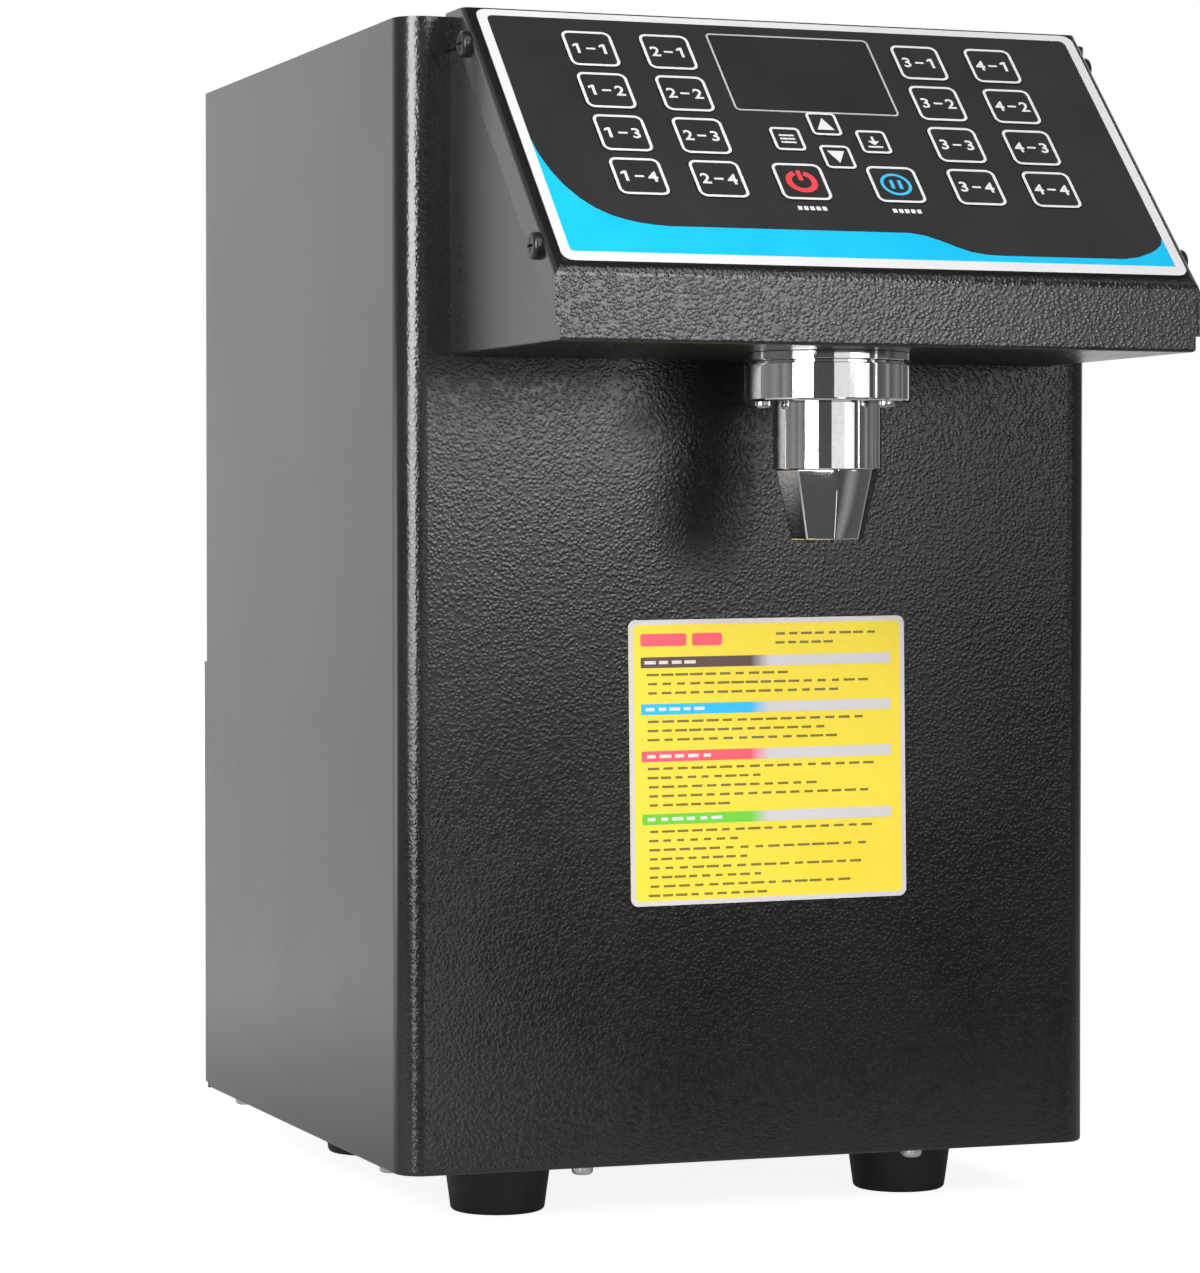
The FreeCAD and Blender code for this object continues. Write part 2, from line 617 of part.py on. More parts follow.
def rubber_feet():
    """Four tapered feet under the base plate, each with a well for its screw."""
    foot_h = FOOT_H + SHEET
    feet = []
    for place in foot_places():
        foot = Part.makeCone(FOOT_BOTTOM_R, FOOT_TOP_R, foot_h, point(place.x, place.y, -FOOT_H))
        foot = rounded(foot, FOOT_EDGE_R, lambda edge: edge.BoundBox.ZMax < -FOOT_H + NEAR)
        foot = foot.cut(rod(FOOT_WELL_R, FOOT_WELL_H, point(place.x, place.y, -FOOT_H)))
        feet.append(foot.cut(rod(SCREW_R + THREAD_FIT, foot_h, point(place.x, place.y, -FOOT_H))))
    return Part.makeCompound(feet)


def steel_screws():
    """Bright screws and nuts of the case, cover, feet, bracket, pump, motor and collar."""
    down = Z_AXIS * -1
    screws = [steel_screw(place, down) for place in lip_screw_places()]
    well_top = -FOOT_H + FOOT_WELL_H
    foot_screw_l = FLOOR_Z + NUT_H + SCREW_END - well_top
    for place in foot_places():
        screws.append(steel_screw(point(place.x, place.y, well_top), down, foot_screw_l))
        screws.append(nut(point(place.x, place.y, FLOOR_Z), Z_AXIS))
    cover_screw_l = COVER_PROUD + 2 * SHEET + SCREW_GRIP
    screws += [steel_screw(place, Y_AXIS, cover_screw_l) for place in cover_screw_places()]
    screws += [steel_screw(place, Y_AXIS) for place in panel_screw_places()]
    collar_screw_l = HEAD_BOTTOM + SHEET + SCREW_END - COLLAR_BOTTOM
    for place in collar_screw_places():
        screws.append(pan_screw(COLLAR_SCREW_HEAD_R, COLLAR_SCREW_HEAD_H, COLLAR_SCREW_R,
                                collar_screw_l, place, down))
    bolt_l = BRACKET_X - PUMP_X0 + NUT_H + SCREW_END
    for place in pump_bolt_places():
        screws.append(steel_screw(place, X_AXIS * -1, bolt_l))
        if place.z > PUMP_Z:
            screws.append(nut(point(BRACKET_X, place.y, place.z), X_AXIS))
    screws += [steel_screw(place, Z_AXIS, BRACKET_T + SHEET) for place in bracket_screw_places()]
    return Part.makeCompound(screws)


# ---- head --------------------------------------------------------------------------------------
def head_outline(depth):
    """Top of the head's side view, drawn in by depth from its outside, front to rear."""
    angle = math.radians(SLOPE_ANGLE)
    low_z = FASCIA_TOP - depth / math.cos(angle)
    bend_y = -TOP_STRIP + depth * math.tan(angle / 2)
    return [(-HEAD_OUT, low_z), (bend_y, HEAD_TOP - depth), (0, HEAD_TOP - depth)]


def side_prism(profile, x0, x1):
    """Extrude a (y, z) profile from x0 to x1."""
    return prism([point(x0, y, z) for y, z in profile], X_AXIS * (x1 - x0))


def head_housing():
    """Cheeks, fascia and underside, open at the top under the panel, flanged against the case."""
    bottom = [(0, HEAD_BOTTOM), (-HEAD_OUT, HEAD_BOTTOM)]
    body = side_prism(bottom + head_outline(SHEET), -CHEEK_X, CHEEK_X)
    body = rounded(body, EDGE_R, lambda edge: edge.BoundBox.ZMax < HEAD_BOTTOM + NEAR
                   and edge.BoundBox.YMin < -NEAR)
    inside = [(BEYOND, HEAD_BOTTOM + SHEET), (-HEAD_OUT + SHEET, HEAD_BOTTOM + SHEET),
              (-HEAD_OUT + SHEET, HEAD_TOP + BEYOND), (BEYOND, HEAD_TOP + BEYOND)]
    body = body.cut(side_prism(inside, -CHEEK_X + SHEET, CHEEK_X - SHEET))
    flange_top = HEAD_TOP - SHEET
    for side in (-1, 1):
        x0, x1 = sorted((side * CHEEK_X, side * (CHEEK_X - LIP_W)))
        body = body.fuse(block(x0, x1, -SHEET, 0, HEAD_BOTTOM, flange_top))
    hole = rod(NECK_R + FIT, SHEET + 2 * BEYOND, point(0, NOZZLE_Y, HEAD_BOTTOM - BEYOND))
    holes = [hole] + collar_holes(HEAD_BOTTOM, HEAD_BOTTOM + SHEET)
    holes += [screw_hole(place, axis, 2 * SHEET + BEYOND) for place, axis in cheek_screw_places()]
    return single(drilled(body, holes))


def on_slope(shape):
    """Carry a shape drawn flat, Y up the slope and Z out of the panel, onto the head's slope."""
    turn = FreeCAD.Rotation(X_AXIS, SLOPE_ANGLE)
    return placed(shape, FreeCAD.Placement(point(0, -HEAD_OUT, FASCIA_TOP), turn))


def slope_point(u, v, n):
    angle = math.radians(SLOPE_ANGLE)
    return point(u, -HEAD_OUT + v * math.cos(angle) - n * math.sin(angle),
                 FASCIA_TOP + v * math.sin(angle) + n * math.cos(angle))


def cheek_screw_places():
    """Seats of the panel's four flange screws, each with its outward axis."""
    along = (HEAD_SCREW_LOW, SLOPE_L - HEAD_SCREW_TOP)
    outside = CHEEK_X + SHEET
    return [(slope_point(side * outside, v, -HEAD_SCREW_IN), X_AXIS * side)
            for side in (-1, 1) for v in along]


def nose_waste(outside):
    """What rounding the corner between the slope and the fascia takes away."""
    reach = NOSE_R * math.tan(math.radians(90 - SLOPE_ANGLE) / 2)
    corner = (-HEAD_OUT, FASCIA_TOP)
    middle = (-HEAD_OUT + NOSE_R, FASCIA_TOP - reach)
    up = slope_point(0, reach, 0)
    wedge = side_prism([corner, (up.y, up.z), middle, (-HEAD_OUT, FASCIA_TOP - reach)],
                       -outside - BEYOND, outside + BEYOND)
    return wedge.cut(rod(NOSE_R, 2 * (outside + BEYOND), point(-outside - BEYOND, *middle), X_AXIS))


def keypad_panel():
    """Sloping plate with a level strip behind it and a flange down each cheek."""
    outer = head_outline(0)
    outside = CHEEK_X + SHEET
    plate = side_prism(outer + head_outline(SHEET)[::-1], -outside, outside)
    flange = outer + head_outline(FLANGE_W)[::-1]
    for x0, x1 in ((-outside, -CHEEK_X), (CHEEK_X, outside)):
        plate = plate.fuse(side_prism(flange, x0, x1))
    plate = single(plate)
    ridge = [slope_point(side * outside, SLOPE_L / 2, 0) for side in (-1, 1)]
    plate = rounded(plate, BEND_R, lambda edge: any(
        edge.distToShape(Part.Vertex(place))[0] < NEAR for place in ridge))
    plate = plate.cut(nose_waste(outside))
    opening_w = DISPLAY_W - 2 * DISPLAY_LEDGE
    opening_h = DISPLAY_H - 2 * DISPLAY_LEDGE
    through = SHEET + 2 * BEYOND
    low = -SHEET - BEYOND
    cuts = [block(-opening_w / 2, opening_w / 2, DISPLAY_V - opening_h / 2,
                  DISPLAY_V + opening_h / 2, low, low + through)]
    cuts += [rod(STEM_R + STEM_FIT, through, point(u, v, low)) for _, u, v, _, _, _ in keys()]
    plate = plate.cut(on_slope(Part.makeCompound(cuts)))
    posts = [rod(POST_R, BOARD_DROP, point(u, v, BOARD_N)).cut(
        rod(BOARD_HOLE_R, BOARD_DROP, point(u, v, BOARD_N))) for u, v in post_places()]
    for post in posts:
        plate = plate.fuse(on_slope(post))
    holes = [screw_hole(place, axis, SHEET + BEYOND) for place, axis in cheek_screw_places()]
    return single(drilled(plate, holes))


def head_screws():
    """Black pan screws: four through the panel's flanges, and those of the control board."""
    screws = [pan_screw(HEAD_SCREW_R, HEAD_SCREW_H, SCREW_R, SCREW_LENGTH, place, axis)
              for place, axis in cheek_screw_places()]
    board_low = BOARD_N - BOARD_T
    for u, v in post_places():
        screw = pan_screw(POST_R, BOARD_SCREW_HEAD_H, BOARD_SCREW_R, BOARD_T + BOARD_SCREW_GRIP,
                          point(u, v, board_low), Z_AXIS * -1)
        screws.append(on_slope(screw))
    return Part.makeCompound(screws)


# ---- keypad ------------------------------------------------------------------------------------
def keys():
    """Each key's name, middle (u across, v up the slope), width, height and corner radius."""
    places = []
    for column, u in enumerate(KEY_COLUMNS, 1):
        for row, v in enumerate(ROW_V, 1):
            places.append((f"key_{column}_{row}", u, v, KEY_W, KEY_H, KEY_R))
    middle_v = ROW_V[2]
    small = (SMALL_KEY_W, SMALL_KEY_H, SMALL_KEY_R)
    places.append(("key_set", -SET_X, middle_v, *small))
    places.append(("key_save", SET_X, middle_v, *small))
    places.append(("key_up", 0.0, middle_v + ARROW_RISE, *small))
    places.append(("key_down", 0.0, middle_v - ARROW_RISE, *small))
    places.append(("key_power", -POWER_X, ROW_V[3], KEY_W, KEY_H, KEY_R))
    places.append(("key_pause", POWER_X, ROW_V[3], KEY_W, KEY_H, KEY_R))
    return places


def board_box():
    """The board's edges: u0, u1, v0, v1."""
    half = KEY_OUTER_X + BOARD_MARGIN
    return -half, half, ROW_V[-1] - BOARD_MARGIN, ROW_V[0] + BOARD_MARGIN


def post_places():
    """Middles of the board's posts: its corners, and two between the keys of its lower edge."""
    u0, u1, v0, v1 = board_box()
    low, high = v0 + POST_INSET, v1 - POST_INSET
    between = -(KEY_INNER_X + (DISPLAY_W / 2 + SET_X) / 2) / 2
    corners = [(u, v) for u in (u0 + POST_INSET, u1 - POST_INSET) for v in (low, high)]
    return corners + [(between, low), (-between, low)]


def keypad_overlay():
    """Printed film on the slope, with a clear outline round every key and the display."""
    height = OVERLAY_V1 - OVERLAY_V0
    film = rounded_plate(2 * OVERLAY_HALF, height, OVERLAY_R, OVERLAY_T)
    film.translate(point(0, OVERLAY_V0 + height / 2, 0))
    cuts = []
    for _, u, v, width, tall, radius in keys():
        cut = rounded_plate(width + 2 * KEY_GAP, tall + 2 * KEY_GAP, radius + KEY_GAP,
                            OVERLAY_T + 2 * BEYOND)
        cut.translate(point(u, v, -BEYOND))
        cuts.append(cut)
    pane = rounded_plate(DISPLAY_W + 2 * FIT, DISPLAY_H + 2 * FIT, DISPLAY_R + FIT,
                         OVERLAY_T + 2 * BEYOND)
    pane.translate(point(0, DISPLAY_V, -BEYOND))
    return single(on_slope(film.cut(Part.makeCompound(cuts + [pane]))))


def key(u, v, width, tall, radius):
    """One key: a thin cap in the film's outline, on a stem that reaches down to its switch."""
    cap = rounded_plate(width, tall, radius, KEY_T)
    cap.translate(point(u, v, KEY_TOP_N - KEY_T))
    stem = rod(STEM_R, KEY_TOP_N - KEY_T - STEM_N, point(u, v, STEM_N))
    return single(on_slope(cap.fuse(stem)))


def display_window():
    """Tinted pane level with the film, on the rim of the panel's opening."""
    pane = rounded_plate(DISPLAY_W, DISPLAY_H, DISPLAY_R, OVERLAY_T)
    pane.translate(point(0, DISPLAY_V, 0))
    return on_slope(pane)


def display_module():
    """Digit display on the board, reaching up into the panel's opening."""
    half_w = DISPLAY_W / 2 - DISPLAY_LEDGE - DISPLAY_BODY_GAP
    half_h = DISPLAY_H / 2 - DISPLAY_LEDGE - DISPLAY_BODY_GAP
    return on_slope(block(-half_w, half_w, DISPLAY_V - half_h, DISPLAY_V + half_h,
                          BOARD_N, -DISPLAY_BODY_GAP))


def control_board():
    """Circuit board on the panel's posts, with its controller and plugs on the rear side."""
    u0, u1, v0, v1 = board_box()
    low = BOARD_N - BOARD_T
    board = block(u0, u1, v0, v1, low, BOARD_N)
    holes = [rod(BOARD_HOLE_R, BOARD_T + 2 * BEYOND, point(u, v, low - BEYOND))
             for u, v in post_places()]
    board = board.cut(Part.makeCompound(holes))
    for (width, tall, thick), u, v in ((CONTROLLER, -KEY_INNER_X, ROW_V[1]),
                                       (SUPPLY_PLUG, KEY_INNER_X, ROW_V[0]),
                                       (REGULATOR, KEY_INNER_X, ROW_V[2]),
                                       (MOTOR_PLUG, KEY_OUTER_X, ROW_V[1])):
        board = board.fuse(block(u - width / 2, u + width / 2, v - tall / 2, v + tall / 2,
                                 low - thick, low))
    return single(on_slope(board))


def key_switches():
    """A switch on the board under every key."""
    half = SWITCH_SIDE / 2
    return Part.makeCompound([on_slope(block(u - half, u + half, v - half, v + half,
                                             BOARD_N, BOARD_N + SWITCH_H))
                              for _, u, v, _, _, _ in keys()])


# ---- nozzle ------------------------------------------------------------------------------------
def nozzle_axis(z):
    return point(0, NOZZLE_Y, z)


def collar_holes(z0, z1):
    return [rod(COLLAR_SCREW_R + THREAD_FIT, z1 - z0 + 2 * BEYOND, point(p.x, p.y, z0 - BEYOND))
            for p in collar_screw_places()]


def nozzle_ring():
    """Washer ring under the head, with the step that leaves a groove above the collar."""
    ring = pipe(RING_R, NECK_R + FIT, RING_H, nozzle_axis(HEAD_BOTTOM - RING_H))
    step = pipe(GROOVE_R, NECK_R + FIT, GROOVE_H, nozzle_axis(COLLAR_TOP))
    return single(drilled(ring.fuse(step), collar_holes(COLLAR_TOP, HEAD_BOTTOM)))


def nozzle_collar():
    collar = rod(COLLAR_R, COLLAR_H, nozzle_axis(COLLAR_BOTTOM))
    collar = collar.makeChamfer(COLLAR_CHAMFER, [edge for edge in collar.Edges
                                                 if isinstance(edge.Curve, Part.Circle)])
    collar = collar.cut(rod(NECK_R + FIT, COLLAR_H, nozzle_axis(COLLAR_BOTTOM)))
    return single(drilled(collar, collar_holes(COLLAR_BOTTOM, COLLAR_TOP)))


def nozzle_body():
    """Round body with a neck up through the head and a spigot for the hose, bored right through."""
    spigot_r = HOSE_BORE_R - SPIGOT_FIT
    body = rod(BODY_R, BODY_H, nozzle_axis(BODY_BOTTOM))
    body = body.fuse(rod(NECK_R, NECK_TOP - COLLAR_BOTTOM, nozzle_axis(COLLAR_BOTTOM)))
    body = body.fuse(rod(spigot_r, SPIGOT_L, nozzle_axis(NECK_TOP)))
    body = body.cut(rod(BODY_BORE_R, COLLAR_BOTTOM - BODY_BOTTOM, nozzle_axis(BODY_BOTTOM)))
    body = body.cut(rod(SPIGOT_BORE_R, NECK_TOP + SPIGOT_L - BODY_BOTTOM, nozzle_axis(BODY_BOTTOM)))
    return single(body)


def nozzle_tip():
    """Eight-sided tip that tapers to the outlet, with a chamfer round its lower edge."""
    def ring(radius, z):
        turns = [math.radians(-90 - TIP_TURN + 360 * i / TIP_SIDES) for i in range(TIP_SIDES)]
        corners = [point(radius * math.cos(a), NOZZLE_Y + radius * math.sin(a), z) for a in turns]
        return Part.makePolygon(corners + corners[:1])

    bevel_r = TIP_BOTTOM_R - TIP_CHAMFER
    sections = [ring(bevel_r, TIP_BOTTOM), ring(TIP_BOTTOM_R, TIP_BOTTOM + TIP_CHAMFER)]
    bevel = Part.makeLoft(sections, True, True)
    taper = Part.makeLoft([sections[1], ring(TIP_TOP_R, BODY_BOTTOM)], True, True)
    return single(bevel.fuse(taper).cut(rod(NOZZLE_BORE_R, TIP_H, nozzle_axis(TIP_BOTTOM))))


def nozzle_nut():
    low = HEAD_BOTTOM + SHEET
    body = polygon_prism(NOZZLE_NUT_AF, NOZZLE_NUT_H, nozzle_axis(low))
    return body.cut(rod(NECK_R + THREAD_FIT, NOZZLE_NUT_H, nozzle_axis(low)))


# ---- tank --------------------------------------------------------------------------------------
def tank_axis(z):
    return point(0, TANK_Y, z)


def tank():
    """Deep drawn tank that hangs by its rim from the top deck."""
    outer_r = TANK_R + TANK_WALL
    outside = rod(outer_r, RIM_Z - TANK_BOTTOM, tank_axis(TANK_BOTTOM))
    outside = rounded(outside, TANK_CORNER_R, lambda edge: edge.BoundBox.ZMax < TANK_BOTTOM + NEAR)
    floor = TANK_BOTTOM + TANK_WALL
    inside = rod(TANK_R, RIM_Z - floor + BEYOND, tank_axis(floor))
    inside = rounded(inside, TANK_CORNER_R - TANK_WALL, lambda edge: edge.BoundBox.ZMax < floor + NEAR)
    rim = pipe(outer_r + RIM_W, TANK_R, RIM_T, tank_axis(CASE_H))
    body = outside.cut(inside).fuse(rim)
    return single(body.cut(rod(OUTLET_STEM_R + THREAD_FIT, 3 * TANK_WALL,
                               tank_axis(TANK_BOTTOM - TANK_WALL))))


def tank_outlet():
    """Outlet through the tank's bottom: a flanged stem with a spigot, and the nut below."""
    floor = TANK_BOTTOM + TANK_WALL
    spigot_r = HOSE_BORE_R - SPIGOT_FIT
    fitting = rod(OUTLET_FLANGE_R, OUTLET_FLANGE_T, tank_axis(floor))
    fitting = fitting.fuse(rod(OUTLET_STEM_R, floor - OUTLET_Z, tank_axis(OUTLET_Z)))
    fitting = fitting.fuse(rod(spigot_r, SPIGOT_L, tank_axis(OUTLET_Z - SPIGOT_L)))
    length = floor + OUTLET_FLANGE_T - OUTLET_Z + SPIGOT_L
    fitting = fitting.cut(rod(SPIGOT_BORE_R, length, tank_axis(OUTLET_Z - SPIGOT_L)))
    lock = polygon_prism(OUTLET_NUT_AF, OUTLET_NUT_H, tank_axis(OUTLET_Z))
    lock = lock.cut(rod(OUTLET_STEM_R + THREAD_FIT, OUTLET_NUT_H, tank_axis(OUTLET_Z)))
    return Part.makeCompound([single(fitting), lock])


def tank_lid():
    """Lift-off lid: a shallow inverted tray with four curved tabs that find the tank's mouth."""
    top = LID_Z + LID_H
    lid = rod(LID_R, LID_H, tank_axis(LID_Z))
    lid = rounded(lid, LID_EDGE_R, lambda edge: edge.BoundBox.ZMin > top - NEAR)
    lid = lid.cut(rod(LID_R - LID_T, LID_H - LID_T, tank_axis(LID_Z)))
    tab_r = TANK_R - LID_TAB_GAP
    tab_low = LID_Z - LID_TAB_H
    ring = pipe(tab_r, tab_r - LID_T, LID_H - LID_T + LID_TAB_H, tank_axis(tab_low))
    half = LID_TAB_W / 2
    across = block(-LID_R, LID_R, TANK_Y - half, TANK_Y + half, tab_low, top)
    along = block(-half, half, TANK_Y - LID_R, TANK_Y + LID_R, tab_low, top)
    return single(lid.fuse(ring.common(across.fuse(along))))


def lid_knob():
    """Mushroom knob in the middle of the lid."""
    low = LID_Z + LID_H
    rim_low, rim_high = (KNOB_H * share for share in KNOB_RIM)
    profile = [(0, 0), (KNOB_NECK_R, 0), (KNOB_WAIST_R, KNOB_NECK_H), (KNOB_R, rim_low),
               (KNOB_R, rim_high), (KNOB_TOP_R, KNOB_H), (0, KNOB_H)]
    return turned(profile, tank_axis(low))


def heater_band():
    """Heater wrapped round the tank, with a gap between its two end lugs."""
    inner = TANK_R + TANK_WALL + FIT
    low = TANK_BOTTOM + HEATER_UP
    band = pipe(inner + HEATER_T, inner, HEATER_H, tank_axis(low))
    reach = inner + HEATER_T + HEATER_LUG
    half_gap = reach * math.tan(math.radians(HEATER_GAP_ANGLE / 2))
    gap = prism([point(0, TANK_Y, low), point(-reach, TANK_Y - half_gap, low),
                 point(-reach, TANK_Y + half_gap, low)], Z_AXIS * HEATER_H)
    gap_turn = FreeCAD.Rotation(Z_AXIS, HEATER_GAP_TURN)
    band = band.cut(placed(gap, FreeCAD.Placement(point(0, 0, 0), gap_turn, tank_axis(0))))
    for side in (-1, 1):
        turn = 180 + HEATER_GAP_TURN + side * (HEATER_GAP_ANGLE / 2 + HEATER_LUG_TURN)
        lug = block(inner, reach, -HEATER_T / 2, HEATER_T / 2, 0, HEATER_H)
        where = FreeCAD.Placement(tank_axis(low), FreeCAD.Rotation(Z_AXIS, turn))
        band = band.fuse(placed(lug, where))
    return single(band)


# ---- hoses -------------------------------------------------------------------------------------
def route(corners, radii):
    """Path of straight runs joined by tangent arcs: corners are points, one radius per turn."""
    edges = []
    start = corners[0]
    for before, corner, after, radius in zip(corners, corners[1:], corners[2:], radii):
        come = (before - corner).normalize()
        go = (after - corner).normalize()
        half = come.getAngle(go) / 2
        back = radius / math.tan(half)
        enter, leave = corner + come * back, corner + go * back
        middle = corner + (come + go).normalize() * (radius / math.sin(half) - radius)
        if (enter - start).Length > NEAR:
            edges.append(Part.LineSegment(start, enter).toShape())
        edges.append(Part.Arc(enter, middle, leave).toShape())
        start = leave
    edges.append(Part.LineSegment(start, corners[-1]).toShape())
    return Part.Wire(edges)


def hose(path):
    """Hollow hose along a path."""
    edge = path.Edges[0]
    start = edge.valueAt(edge.FirstParameter)
    along = edge.tangentAt(edge.FirstParameter)

    def tube(radius):
        ring = Part.Wire([Part.Circle(start, along, radius).toShape()])
        return path.makePipeShell([ring], True, True)

    return single(tube(HOSE_R).cut(tube(HOSE_BORE_R)))


def suction_hose():
    """From the tank's outlet down and forward to the rear of the pump."""
    corner = point(0, TANK_Y, PUMP_Z)
    path = route([tank_axis(OUTLET_Z), corner, point(0, PUMP_BACK, PUMP_Z)], [SUCTION_BEND_R])
    return hose(path)


def delivery_hose():
    """From the front of the pump, up inside the front wall, over and down to the nozzle."""
    over = (RISER_Y - NOZZLE_Y) / 2 - ARC_GAP
    path = route([point(0, PUMP_FRONT, PUMP_Z), point(0, RISER_Y, PUMP_Z),
                  point(0, RISER_Y, RISER_TOP), nozzle_axis(RISER_TOP), nozzle_axis(NECK_TOP)],
                 [DELIVERY_BEND_R, over, over])
    return hose(path)


def clamp(middle, axis, outward):
    """Worm clamp: a band round the hose and its screw housing on the outward side."""
    start = middle - axis * (CLAMP_W / 2)
    inner = HOSE_R + THREAD_FIT
    band = pipe(inner + CLAMP_T, inner, CLAMP_W, start, axis)
    across = axis.cross(outward)
    reach = inner + CLAMP_T / 2
    corners = [start + outward * r + across * s
               for r, s in ((reach, -CLAMP_BOX / 2), (reach + CLAMP_BOX_H, -CLAMP_BOX / 2),
                            (reach + CLAMP_BOX_H, CLAMP_BOX / 2), (reach, CLAMP_BOX / 2))]
    housing = prism(corners, axis * CLAMP_W).cut(rod(inner, CLAMP_W, start, axis))
    return single(band.fuse(housing))


def hose_clamps():
    half = SPIGOT_L / 2
    return Part.makeCompound([
        clamp(tank_axis(OUTLET_Z - half), Z_AXIS, X_AXIS),
        clamp(point(0, PUMP_BACK + half, PUMP_Z), Y_AXIS, X_AXIS),
        clamp(point(0, PUMP_FRONT - half, PUMP_Z), Y_AXIS, X_AXIS),
        clamp(nozzle_axis(NECK_TOP + half), Z_AXIS, X_AXIS)])


# ---- pump --------------------------------------------------------------------------------------
def tooth_flank():
    """(radius, half angle) pairs up one flank of an involute tooth, from root to tip."""
    pitch_r = GEAR_CENTRES / 2
    base_r = pitch_r * math.cos(math.radians(PRESSURE_ANGLE))
    root_r = pitch_r - DEDENDUM * GEAR_MODULE

    def involute(radius):
        angle = math.acos(min(1.0, base_r / radius))
        return math.tan(angle) - angle

    half_at_pitch = math.pi / 2 / GEAR_TEETH - BACKLASH / 2 / pitch_r
    radii = [base_r + (GEAR_TIP_R - base_r) * i / FLANK_STEPS for i in range(FLANK_STEPS + 1)]
    flank = [(r, half_at_pitch + involute(pitch_r) - involute(r)) for r in radii]
    if root_r < base_r:
        flank.insert(0, (root_r, flank[0][1]))
    return flank


def gear_outline(turn):
    """Corners of the whole gear, drawn flat, its first tooth turned from +X by turn degrees."""
    flank = tooth_flank()
    corners = []
    for tooth in range(GEAR_TEETH):
        middle = math.radians(turn) + 2 * math.pi * tooth / GEAR_TEETH
        up = [(r, middle - half) for r, half in flank]
        down = [(r, middle + half) for r, half in flank[::-1]]
        corners += [point(r * math.cos(a), r * math.sin(a), 0) for r, a in up + down]
    return corners


def gear(z, turn, shaft_x0, shaft_x1):
    """Gear with its shaft along X, at height z in the pump."""
    wheel = prism(gear_outline(turn), Z_AXIS * (GEAR_W - 2 * GEAR_END_GAP))
    upright = FreeCAD.Rotation(Y_AXIS, 90)
    wheel = placed(wheel, FreeCAD.Placement(point(CAVITY_X0 + GEAR_END_GAP, PUMP_Y, z), upright))
    shaft = rod(SHAFT_R, shaft_x1 - shaft_x0, point(shaft_x0, PUMP_Y, z), X_AXIS)
    return single(wheel.fuse(shaft))


def drive_gear():
    """Lower gear, on the shaft that the motor turns."""
    return gear(DRIVE_Z, 0, CAVITY_X0 - COVER_BEARING_L, BRACKET_X + MOTOR_SOCKET_L)


def driven_gear():
    """Upper gear, in mesh with the drive gear, turned by half a tooth."""
    return gear(DRIVE_Z + GEAR_CENTRES, 180 / GEAR_TEETH, CAVITY_X0 - COVER_BEARING_L,
                CAVITY_X1 + BEARING_L)


def pump_block(x0, x1):
    """Slab with the pump's outline, its long edges rounded."""
    slab = block(x0, x1, PUMP_FRONT, PUMP_BACK, PUMP_Z - PUMP_RISE, PUMP_Z + PUMP_RISE)
    return rounded(slab, PUMP_EDGE_R, lambda edge: runs_along(edge, X_AXIS))


def pump_bolt_holes(x0, x1):
    return [rod(SCREW_R + THREAD_FIT, x1 - x0 + 2 * BEYOND, point(x0 - BEYOND, p.y, p.z), X_AXIS)
            for p in pump_bolt_places()]


def pump_body():
    """Body with the gears' cavity, two ports with hose spigots, and the shafts' bearings."""
    body = pump_block(CAVITY_X0, PUMP_X1)
    spigot_r = HOSE_BORE_R - SPIGOT_FIT
    port_x = (CAVITY_X0 + CAVITY_X1) / 2
    span = PUMP_DEPTH + 2 * SPIGOT_L
    body = body.fuse(rod(spigot_r, span, point(0, PUMP_FRONT - SPIGOT_L, PUMP_Z), Y_AXIS))
    cavity_r = GEAR_TIP_R + GEAR_TIP_GAP
    upper_z = DRIVE_Z + GEAR_CENTRES
    cuts = [rod(cavity_r, GEAR_W + BEYOND, point(CAVITY_X0 - BEYOND, PUMP_Y, z), X_AXIS)
            for z in (DRIVE_Z, upper_z)]
    cuts.append(rod(SPIGOT_BORE_R, span, point(0, PUMP_FRONT - SPIGOT_L, PUMP_Z), Y_AXIS))
    cuts.append(block(port_x - GEAR_W / 4, port_x + GEAR_W / 4, PUMP_Y - cavity_r, PUMP_Y + cavity_r,
                      PUMP_Z - SPIGOT_BORE_R, PUMP_Z + SPIGOT_BORE_R))
    bearing_r = SHAFT_R + SHAFT_FIT
    cuts.append(rod(bearing_r, PUMP_WALL + 2 * BEYOND, point(CAVITY_X1 - BEYOND, PUMP_Y, DRIVE_Z),
                    X_AXIS))
    cuts.append(rod(bearing_r, BEARING_L + BEARING_END_GAP, point(CAVITY_X1, PUMP_Y, upper_z), X_AXIS))
    for cut in cuts:
        body = body.cut(cut)
    return single(drilled(body, pump_bolt_holes(CAVITY_X0, PUMP_X1)))


def pump_cover():
    """Plate that closes the cavity and carries the shafts' other ends."""
    cover = pump_block(PUMP_X0, CAVITY_X0)
    deep = COVER_BEARING_L + BEARING_END_GAP
    bearings = [rod(SHAFT_R + SHAFT_FIT, deep, point(CAVITY_X0 - deep, PUMP_Y, z), X_AXIS)
                for z in (DRIVE_Z, DRIVE_Z + GEAR_CENTRES)]
    return single(drilled(cover, bearings + pump_bolt_holes(PUMP_X0, CAVITY_X0)))


